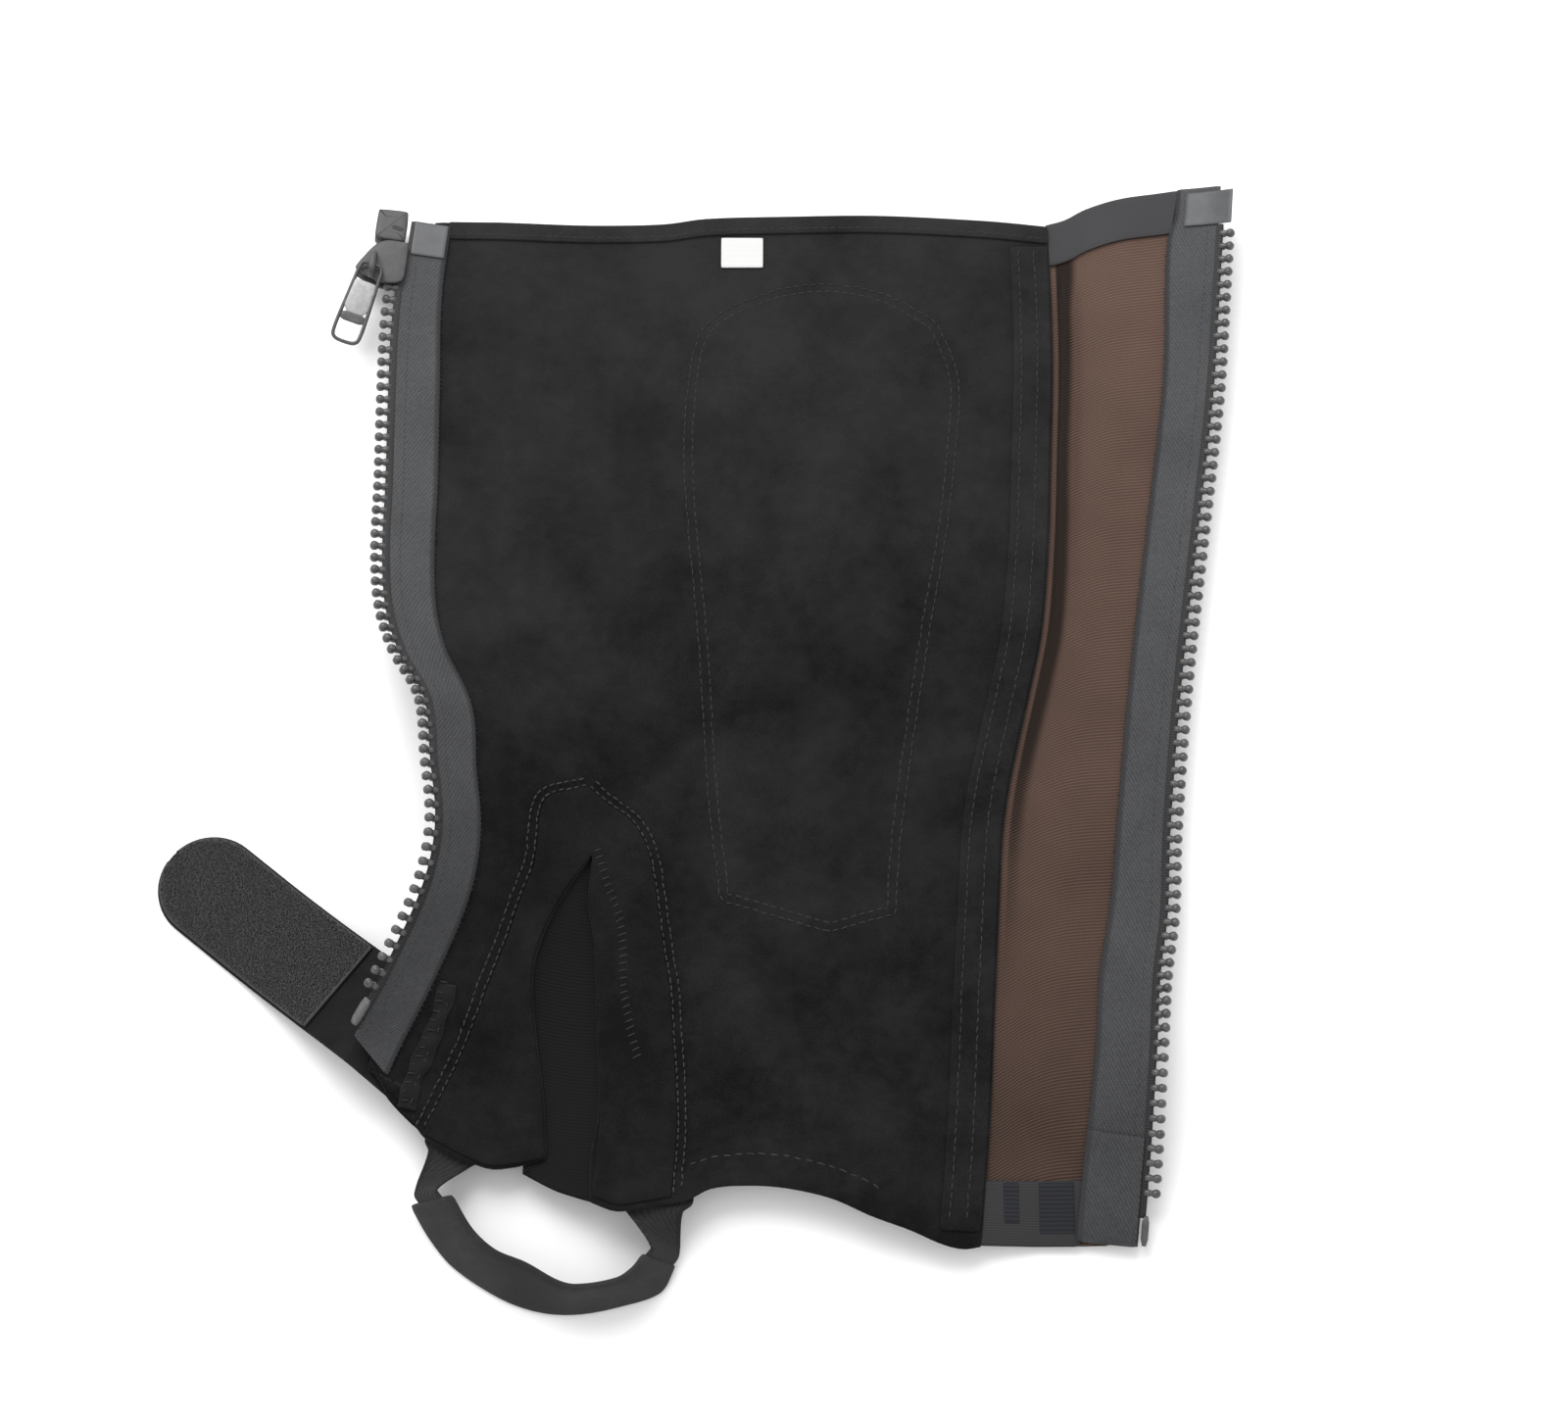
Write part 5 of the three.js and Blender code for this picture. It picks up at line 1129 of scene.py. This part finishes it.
plate_flange("tape_side_flange", SLIDER_OUTLINE[7], SLIDER_OUTLINE[8] - [0, 0.5])
plate_flange("outer_flange", SLIDER_OUTLINE[0] + [-0.3, -0.5], SLIDER_OUTLINE[1] + [0.3, 0.5])
BAIL_SIDE, BAIL_MIDDLE = -2.6, -2.6
origin, axes = slider_place
bail_arch = np.array([[4.0, 3.0], [4.0, 3.6], [3.6, 5.6], [3.1, 6.6], [2.2, 7.0], [0, 7.05],
                      [-2.2, 7.0], [-3.1, 6.6], [-3.6, 5.6], [-4.0, 3.6], [-4.0, 3.0]])
bail_path = np.insert(bail_arch + [BAIL_MIDDLE, 0], 0, BAIL_SIDE, axis=1)
bail = tube("slider_bail", origin + walk(bail_path, np.linspace(0, 1, 40)) @ axes,
            np.broadcast_to(axes[0], (40, 3)), 0.6, 1.05, 10, power=0.7)
dress(bail, SLIDER, "gunmetal")
BOX_LONG = 10.5
box_place = zip_axes("front", SLIDER_DOWN - (SLIDER_LONG / 2 + BOX_LONG / 2 + 0.3) / HEIGHT, 0.3 + 5.1)
box_outline = rounded([[-5.1, -5.2], [-4.4, -5.95], [4.4, -5.95], [5.1, -5.2], [5.1, 4.6], [4.2, 5.45],
                       [-4.6, 4.9], [-5.1, 4.3]], 2)
# The slot in the box's top is a thin dark slab on the lid: painted shade in place of the slot's hollow.
box_slot_shade = rounded(oblong(3.8, 1.5, 2.1, -1.4, -0.22), 2)
dress(slab("zip_box_shell", box_outline, -2.7, 2.7, box_place, 0.8), SLIDER, "gunmetal", "zip_box")
dress(slab("box_slot_shade", box_slot_shade, 2.6, 2.83, box_place, 0.1), SLOT_SHADE_PAINT, "gunmetal")
print("slider and box ready")

# %% [markdown]
# The pull is a stamped plate with a raised rim all round, a glossy panel inside it and a wide hole at its
# far end. One plate with a hole would need a cut, so the rim is a closed tube and the panel and its band
# are slabs inside it. Its place follows from the slider's: turned twelve degrees in the bail and
# drooping by eight. It rides on a body of its own, because it swings.

# %% Pull
def turned(place, about, degrees):
    """The same axes after a turn about one of them."""
    origin, axes = place
    c, s = math.cos(math.radians(degrees)), math.sin(math.radians(degrees))
    a, b = [(1, 2), (2, 0), (0, 1)][about]
    new = axes.copy()
    new[a], new[b] = c * axes[a] + s * axes[b], c * axes[b] - s * axes[a]
    return origin, new


bar_point = origin + np.array([BAIL_SIDE, BAIL_MIDDLE - 0.8, 5.25]) @ axes
pull_place = turned(turned((bar_point, axes), 2, -12), 0, 8)
PULL_END = -28.6
pull_ring = rounded([[-3.7, 0.1], [-4.0, -7.2], [-4.85, PULL_END + 2.6], [-3.3, PULL_END + 0.75],
                     [0, PULL_END + 0.5], [3.3, PULL_END + 0.75], [4.85, PULL_END + 2.6], [4.0, -7.2],
                     [3.7, 0.1], [0, 0.05]], 3)
ring_points = np.column_stack([pull_ring, np.zeros(len(pull_ring))])
ring_up = np.broadcast_to(pull_place[1][2], (len(pull_ring), 3))
rim = tube("pull_rim", bar_point + ring_points @ pull_place[1], ring_up, 0.62, 0.72, 10, closed=True,
           power=0.8, body="zip_pull")
dress(rim, PULL_RIM, "gunmetal")
panel_outline = rounded([[-4.6, PULL_END + 10.6], [4.6, PULL_END + 10.6], [4.05, -7.0], [2.9, -6.3],
                         [-2.9, -6.3], [-4.05, -7.0]], 1)
panel = slab("pull_panel", panel_outline, -0.6, 0.55, pull_place, 0.25, 0.1, body="zip_pull")
dress(panel, PULL, "gunmetal", "zip_pull")
band_outline = rounded(oblong(9.3, 3.2, 0, PULL_END + 9.2), 1)
dress(slab("pull_band", band_outline, -0.6, 0.35, pull_place, 0.25, body="zip_pull"), PULL_RIM, "gunmetal")
print("pull is", round(-PULL_END, 1), "mm long from its bar")

# %% [markdown]
# Each tooth row ends in a moulded stop, which keeps the slider on. It could be one more tooth, but the
# real one is a plain bar as long as two teeth, so it is a slab.

# %% Stops
def stop(name, edge, down, out, wide, long, bevel, material, slot, node_name):
    """A bar on a zip edge, whose middle is a little out from the edge."""
    bar = rounded(oblong(wide, long), 1)
    dress(slab(name, bar, -1.7, 1.7, zip_axes(edge, down, out), bevel, 0.1), material, slot, node_name)


stop("stop_front", "front", 0.781 + 5.4 / HEIGHT, 1.25, 1.8, 8.8, 0.5, STOP, "film", "zip_stop_front")
stop("stop_rear", "rear", REAR_END - 4.5 / HEIGHT, 1.4, 2.2, 9.0, 0.6, TOOTH, "zip_teeth", "zip_stop_rear")
print("stops ready")

# %% [markdown]
# The hook strap closes the ankle over the zip. It is sewn on under the suede, comes down off it and lies
# on the surface. Bending a flat strap with a curve modifier would slide its pad along, so strap and pad
# are two grids over one height function, which is the strap's own way down.

# %% Hook strap
HOOK_WIDTH, HOOK_LENGTH, HOOK_PAD = 32.0, 109.5, 71.0
HOOK_TURN = math.radians(-38.5)
HOOK_AXIS = np.array([math.cos(HOOK_TURN), math.sin(HOOK_TURN)])
HOOK_CROSS = np.array([-HOOK_AXIS[1], HOOK_AXIS[0]])
HOOK_TIP = np.array([-0.875 * HALF, y_of(0.8385)]) - HOOK_LENGTH * HOOK_AXIS
HOOK_RISE = np.array([[-0.05, 0.0], [0.30, 0.0], [0.45, 0.10], [0.60, 0.36], [0.75, 0.70], [0.90, 0.93],
                      [1.10, 1.0]])


def hook_ground(x, y):
    """The strap's own rise, held softly below the underside of the suede."""
    along = ((x - HOOK_TIP[0]) * HOOK_AXIS[0] + (y - HOOK_TIP[1]) * HOOK_AXIS[1]) / HOOK_LENGTH
    own = 21.0 * table(HOOK_RISE, 1, along)
    under = ground(x, y) + SUEDE_LOW - GAP - 1.6 - 0.6
    low = np.minimum(own, under)
    rest = np.maximum(own, under) - low
    soft = 1.2 * (np.log(2) * np.exp(-rest / 1.2) - np.log1p(np.exp(-rest / 1.2)))
    return np.maximum(0, low + soft)


def strap_plan(length, inset, across, downward):
    """Rows across the strap: its half width follows a round end, then stays."""
    along = np.concatenate([HOOK_WIDTH / 2 * (1 - np.cos(np.linspace(0, np.pi / 2, 14))),
                            np.linspace(HOOK_WIDTH / 2, length, downward)[1:]])
    along[0] = 0.35
    round_end = np.maximum(0, 1 - along / (HOOK_WIDTH / 2))
    half = np.sqrt(np.maximum(0, 1 - round_end ** 2)) * (HOOK_WIDTH / 2 - inset)
    along = inset + along * (length - inset) / length
    u = np.linspace(-1, 1, across)
    return (HOOK_TIP + along[:, None, None] * HOOK_AXIS
            + (half[:, None] * u)[..., None] * HOOK_CROSS)


hook_strap = dress(cloth("closing_strap", strap_plan(HOOK_LENGTH, 0, 16, 50), 0.0, 1.6, height=hook_ground),
                   SUEDE_DULL, "suede", "hook_strap")
pad_plan = strap_plan(HOOK_PAD, 0.4, 16, 34)
hook_pad = dress(cloth("hook_backing", pad_plan, 1.9, 2.9, height=hook_ground), HOOKS, "hook_pile",
                 "hook_pad")
print("hook strap is", HOOK_WIDTH, "by", HOOK_LENGTH, "mm")

# %% [markdown]
# The pad's face is a pile of tiny stiff hooks, which is what makes it grip and look grey and rough. A
# bump map would look flat at its edge, so each hook is a four-sided post with its tip pulled over, set
# in staggered rows, a little out of place and turned any way.

# %% Hooks
hook_rng = np.random.default_rng(7)
rows_a, rows_b = np.meshgrid(np.arange(0.7, HOOK_PAD - 0.2, 0.74), np.arange(-15.4, 15.5, 0.70),
                             indexing="ij")
rows_b = rows_b + 0.35 * (np.arange(rows_a.shape[0]) % 2)[:, None]
spread = hook_rng.normal(0, 0.12, (2,) + rows_a.shape)
hook_a, hook_b = (rows_a + spread[0]).ravel(), (rows_b + spread[1]).ravel()
inside = (np.hypot(np.minimum(hook_a - 16.0, 0), hook_b) < 15.55) & (np.abs(hook_b) < 15.55)
hook_a, hook_b = hook_a[inside], hook_b[inside]
hook_plan = HOOK_TIP + hook_a[:, None] * HOOK_AXIS + hook_b[:, None] * HOOK_CROSS
hook_base, hook_up = over(hook_plan[:, 0], hook_plan[:, 1], 2.85, hook_ground)
turn = hook_rng.uniform(0, 2 * np.pi, len(hook_a))
lean_to = unit(np.stack([np.cos(turn), np.sin(turn), 0 * turn], -1))
lean_to = unit(lean_to - (lean_to * hook_up).sum(-1, keepdims=True) * hook_up)
hook_shape, hook_faces, hook_ends = stack([(0.0, 0.16, 0.16), (0.55, 0.14, 0.14), (0.85, 0.20, 0.17)], 4)
hook_shape[8:, 2] += 0.22
hook_points, hook_faces = copies(hook_shape, hook_faces, hook_ends, hook_base, hook_up,
                                 np.cross(hook_up, lean_to), lean_to)
dress(put("hook_pile", hook_points, hook_faces), HOOKS, "hook_pile")
print("hooks:", len(hook_a))

# %% [markdown]
# The strap under the boot's sole is a ribbon that stands on its outer edge, so its face looks up and
# inward. A height over the plan can't hold a face that steep, so it is ruled between two edge curves in
# space. A strip of webbing at each end leads under the suede.

# %% Foot strap
STIRRUP = np.array([
    [0.000, 0.035, 0.15, 0.154, 0.040, 1.00], [0.070, -0.078, 0.05, 0.230, -0.080, 1.00],
    [0.160, -0.180, 0.00, 0.320, -0.160, 1.00], [0.335, -0.292, 0.00, 0.435, -0.208, 1.00],
    [0.480, -0.343, 0.00, 0.560, -0.275, 1.00], [0.625, -0.352, 0.00, 0.635, -0.290, 1.00],
    [0.800, -0.319, 0.00, 0.785, -0.265, 1.00], [0.930, -0.272, 0.00, 0.845, -0.225, 0.98],
    [0.978, -0.190, 0.08, 0.880, -0.178, 0.92]])
stirrup_start = np.array([-0.911 * HALF, y_of(0.971)])
outer_edge = np.column_stack([stirrup_start + 80.0 * STIRRUP[:, :2], 1.1 + 18.0 * STIRRUP[:, 2]])
inner_edge = np.column_stack([stirrup_start + 80.0 * STIRRUP[:, 3:5], 18.0 * STIRRUP[:, 5]])


def ribbon(name, outer, inner, wall, steps, across=10):
    """Rows between two edge curves, with the wall square to both the row and the way along it."""
    shares = np.linspace(0, 1, steps)
    rows = ruled(walk(outer, shares), walk(inner, shares), across)
    along, over_it = np.gradient(rows, axis=0), np.gradient(rows, axis=1)
    normal = unit(np.cross(along, over_it))
    normal *= np.where(normal[..., 2:].mean() < 0, -1.0, 1.0)
    across_way, down_way = lengths(rows)
    index = np.arange(steps * across).reshape(steps, across)
    uv = np.stack([across_way, down_way], -1).reshape(-1, 2)
    return shell(name, rows.reshape(-1, 3), normal.reshape(-1, 3), wall, grid_quads(index),
                 grid_border(index), uv)


foot_strap = dress(ribbon("foot_strap", outer_edge, inner_edge, 2.2, 90), SUEDE_STRAP, "suede",
                   "stirrup_strap")


def strap_end(name, edges, side, down, turn, width, neck, node_name):
    """A strip that leaves the foot strap at a narrow neck and spreads out as it comes under the suede."""
    first, second = edges[:2]
    away = unit(first.sum(0) - second.sum(0))
    angle = math.radians(90 - turn)
    toward = np.array([math.cos(angle), math.sin(angle)])
    cross = np.array([-toward[1], toward[0]])
    sign = np.sign(cross @ (first[0] - first[1])[:2])
    near = first.mean(0) + neck * (first - first.mean(0))
    rows = np.array([[-2.75, 1.2, 0.75], [0.0, 0.4, 1.0], [5.5, 0.0, 1.0], [11.0, 0.0, 1.0]])

    def edge(which, sign_here):
        """One edge curve: out of the foot strap, then down along the strip under the suede."""
        plan = spots(np.array([[side, down]]))[0] + rows[:, :1] * toward
        plan = plan + sign_here * rows[:, 2:] * width / 2 * cross
        z = ground(plan[:, 0], plan[:, 1]) + SUEDE_LOW - GAP - 0.5 - 0.35 - rows[:, 1]
        lead = near[which] + np.array([0.5, 4.0])[:, None] * away
        return np.concatenate([lead, np.column_stack([plan, z])])

    return dress(ribbon(name, edge(0, sign), edge(1, -sign), 1.0, 40), WEBBING, "black_elastic", node_name)


strap_edges = np.stack([outer_edge, inner_edge], 1)
end_front = strap_end("strap_end_front", strap_edges, -0.826, 0.915, 19, 17, 0.58, "stirrup_end_front")
end_rear = strap_end("strap_end_rear", strap_edges[::-1], -0.374, 0.962, 3, 22, 0.92, "stirrup_end_rear")

print("foot strap and its ends ready")

# %% [markdown]
# Each stitch is a short arched grain of thread, and a seam is one array of them laid along a line on
# the cloth. A dashed line in the material would be cheaper, but thread that stands up catches the light
# and casts the small shadows that make a seam look sewn.

# %% Stitches
STITCH = [(-0.5, 0.10, 0.08), (-0.42, 0.22, 0.2), (-0.15, 0.26, 0.26), (0.15, 0.26, 0.26), (0.42, 0.22, 0.2),
          (0.5, 0.10, 0.08)]


def stitches(starts, ends, rise, radius=0.26, height=ground):
    """Points and faces of one thread grain from each start to its end, arched over the cloth and a
    little out of line, as real stitches are."""
    loose = np.random.default_rng(len(starts)).normal(0, 0.12, (2,) + starts.shape)
    starts, ends = starts + loose[0], ends + loose[1]
    middle = (starts + ends) / 2
    here, up = over(middle[:, 0], middle[:, 1], rise, height)
    a = over(starts[:, 0], starts[:, 1], rise, height)[0]
    b = over(ends[:, 0], ends[:, 1], rise, height)[0]
    template, faces, caps = stack(STITCH, 5)
    template = template * [1, radius / 0.26, radius / 0.26]
    template[:, 2] += radius * (0.75 - 3.4 * template[:, 0] ** 2)
    return copies(template, faces, caps, here, b - a, unit(np.cross(up, b - a)), up)


def seam_along(line, pitch, gap=0.24):
    """Starts and ends of stitches a pitch apart along a plan line."""
    keys = np.append(0, np.cumsum(np.linalg.norm(np.diff(line, axis=0), axis=1)))
    at = np.arange(0, keys[-1] - pitch, pitch)
    first = np.stack([np.interp(at, keys, c) for c in line.T], -1)
    last = np.stack([np.interp(at + pitch * (1 - gap), keys, c) for c in line.T], -1)
    return first, last


def moved(line, distance):
    """A plan line moved sideways, to its left where the distance is positive."""
    way = unit(np.gradient(line, axis=0))
    return line + distance * np.stack([-way[:, 1], way[:, 0]], -1)


def thread(name, seams, rise, radius=0.26, finish_with=THREAD, slot="suede"):
    """All the stitches of some seams as one piece."""
    first = np.concatenate([s[0] for s in seams])
    last = np.concatenate([s[1] for s in seams])
    points, faces = stitches(first, last, rise, radius)
    print(name, "has", len(first), "stitches")
    return dress(put(name, points, faces), finish_with, slot)


LONG = np.linspace(0, 1, 400)


def ladder(line, pitch, reach):
    """Starts and ends of short stitches that lie across a line, a pitch apart."""
    keys = np.append(0, np.cumsum(np.linalg.norm(np.diff(line, axis=0), axis=1)))
    at = np.arange(0, keys[-1], pitch)
    point = np.stack([np.interp(at, keys, c) for c in line.T], -1)
    way = unit(np.stack([np.interp(at, keys, c) for c in np.gradient(line, axis=0).T], -1))
    side = np.stack([-way[:, 1], way[:, 0]], -1)
    return point - side * reach / 2 + way * 0.3, point + side * reach / 2 - way * 0.3


ring = walk(patch_ring[::3], LONG)
thread("patch_stitches", [seam_along(moved(ring, 1.0), 2.9), seam_along(moved(ring, 3.7), 2.9)],
       SUEDE_HIGH - 0.2, 0.24)
seam_line = seam_point(np.linspace(0.03, 0.98, 300))
facing_rows = [seam_along(seam_line - [4.6, 0], 2.9), seam_along(seam_line - [9.9, 0], 2.9)]
thread("facing_stitches", facing_rows, EDGE_HIGH - 0.1, 0.24)
hem_line = np.stack([hem_x, top_y(hem_x) - 4.3], -1)
thread("hem_stitches", [seam_along(hem_line, 2.9)], EDGE_HIGH - 0.1, 0.2)

# %% [markdown]
# Two grey rows hold each gusset strip, a ladder of short dark stitches crosses beside the slit, and a
# longer grey stitch closes the lower edge.

# %% Gusset and ankle stitches
gusset_rows = []
for plan, side in ((strip_front_plan, 1), (strip_rear_plan, -1)):
    outer = walk(plan[:, 0], LONG)
    gusset_rows += [seam_along(moved(outer, -side * inset), 2.4, 0.3) for inset in (1.0, 3.3)]
thread("gusset_stitches", gusset_rows, EDGE_HIGH - 0.12, 0.24, THREAD_GREY)
RUNG_LINE = np.array([[-70.5, -47.7], [-66.6, -60.6], [-63.8, -67.9], [-62.2, -77.8], [-62.0, -89.9],
                      [-60.0, -102.3], [-57.4, -112.8]])
thread("gusset_rungs", [ladder(walk(RUNG_LINE, LONG), 2.3, 2.8)], EDGE_HIGH - 0.1, 0.26, THREAD_DARK)
HEM_LOW = np.array([[-40.8, -147.5], [-33.1, -144.9], [-23.6, -144.0], [-13.8, -144.3], [-4.3, -146.2],
                    [2.6, -148.0], [12.3, -151.9], [20.0, -156.6]])
thread("lower_edge_stitches", [seam_along(walk(HEM_LOW, LONG), 3.6, 0.35)], SUEDE_HIGH - 0.12, 0.22,
       THREAD_GREY)

# %% [markdown]
# The tapes are oversewn on the suede and the elastic along their inner sides, and a fine grey row runs
# down each of them beside the teeth.

# %% Tape stitches
front_inner_way, rear_inner_way = walk(tape_inner, LONG), walk(rear_tape_inner, LONG)
thread("front_tape_seam", [ladder(front_inner_way, 1.7, 1.7)], FRONT_TAPE_HIGH - 0.3, 0.2,
       slot="zip_tape")
thread("rear_tape_seam", [ladder(rear_inner_way, 1.7, 1.7)], REAR_TAPE_HIGH - 0.4, 0.2, slot="zip_tape")
front_run = seam_along(beside("front", 4.6, np.linspace(0.05, 0.80, 300)), 2.2, 0.2)
rear_run = seam_along(beside("rear", 4.2, np.linspace(0.02, 0.98, 300)), 2.2, 0.2)
thread("front_tape_row", [front_run], FRONT_TAPE_HIGH - 0.12, 0.14, THREAD_GREY, "zip_tape")
thread("rear_tape_row", [rear_run], REAR_TAPE_HIGH - 0.12, 0.14, THREAD_GREY, "zip_tape")

# %% [markdown]
# Where the hook strap is sewn in, the suede is gathered in a lumpy ridge. Folding the panel itself would
# disturb its edge, so the ridge is a flat tube on top, whose width and height waver.

# %% The bunched seam at the ankle
BUNCH = np.array([[-115.2, -93.0], [-117.2, -101.0], [-121.0, -111.0], [-125.2, -122.0], [-126.8, -131.0]])
bunch_plan = walk(BUNCH, np.linspace(0, 1, 90))
bunch_wide = 2.9 + 0.6 * np.sin(np.linspace(0, 19, 90)) * np.sin(np.linspace(0, 7, 90))
bunch_path, bunch_up = over(bunch_plan[:, 0], bunch_plan[:, 1], SUEDE_HIGH + 0.1)
bunch_tall = 1.7 + 0.5 * np.sin(np.linspace(0, 31, 90))
dress(tube("ankle_bunch", bunch_path, bunch_up, bunch_wide, bunch_tall, 12), SUEDE_DULL, "suede")
bunch_line = walk(BUNCH, LONG)
bunch_rows = [seam_along(moved(bunch_line, 1.2), 2.6, 0.3), ladder(moved(bunch_line, -0.8), 2.9, 2.2)]
thread("bunch_stitches", bunch_rows, SUEDE_HIGH + 1.4, 0.22, THREAD)

# %% [markdown]
# The chap lies on a white table in soft light from all round, with one large window light from beyond
# the top edge. A bright world alone would give no side to the shadows. The camera looks down steeply
# from the lower edge's side through a long lens, as the photo does.

# %% Scene
camera_data = bpy.data.cameras.new("photo_view")
camera_data.sensor_width = 36
camera_data.lens = 71.43
camera = bpy.data.objects.new("photo_view", camera_data)
bpy.context.scene.collection.objects.link(camera)
look_at = np.array([SHIFT[0] - 12, SHIFT[1] + 1, 0]) / 1000
elevation = math.radians(72)
camera.location = look_at + [0, -math.cos(elevation), math.sin(elevation)]
camera.rotation_euler = (math.pi / 2 - elevation, 0, 0)
bpy.context.scene.camera = camera

floor_mesh = bpy.data.meshes.new("white_table")
floor_mesh.from_pydata([(-3, -3, 0), (3, -3, 0), (3, 3, 0), (-3, 3, 0)], [], [(0, 1, 2, 3)])
floor = bpy.data.objects.new("white_table", floor_mesh)
bpy.context.scene.collection.objects.link(floor)
floor_material, _, floor_shader = finish("white_paper", 0.6)
floor_shader.inputs["Base Color"].default_value = (0.95, 0.95, 0.95, 1)
floor.data.materials.append(floor_material)

world = bpy.data.worlds.new("soft_room")
bpy.context.scene.world = world
world.use_nodes = True
world.node_tree.nodes["Background"].inputs["Color"].default_value = (1, 1, 1, 1)
world.node_tree.nodes["Background"].inputs["Strength"].default_value = 1.0
bpy.context.scene.view_settings.view_transform = "Standard"


def soft_light(name, place, size, power):
    """A square light of the given side that looks at the chap."""
    data = bpy.data.lights.new(name, "AREA")
    data.size = size
    data.energy = power
    light = bpy.data.objects.new(name, data)
    bpy.context.scene.collection.objects.link(light)
    light.location = place
    toward = -np.array(place)
    yaw = math.atan2(toward[1], toward[0])
    tilt = math.acos(-toward[2] / np.linalg.norm(toward))
    light.rotation_euler = (tilt, 0, yaw - math.pi / 2)
    return light


soft_light("window", (-0.40, 0.95, 1.4), 1.1, 22)
print("camera is", round(float(np.linalg.norm(np.array(camera.location) - look_at)), 2), "m away")
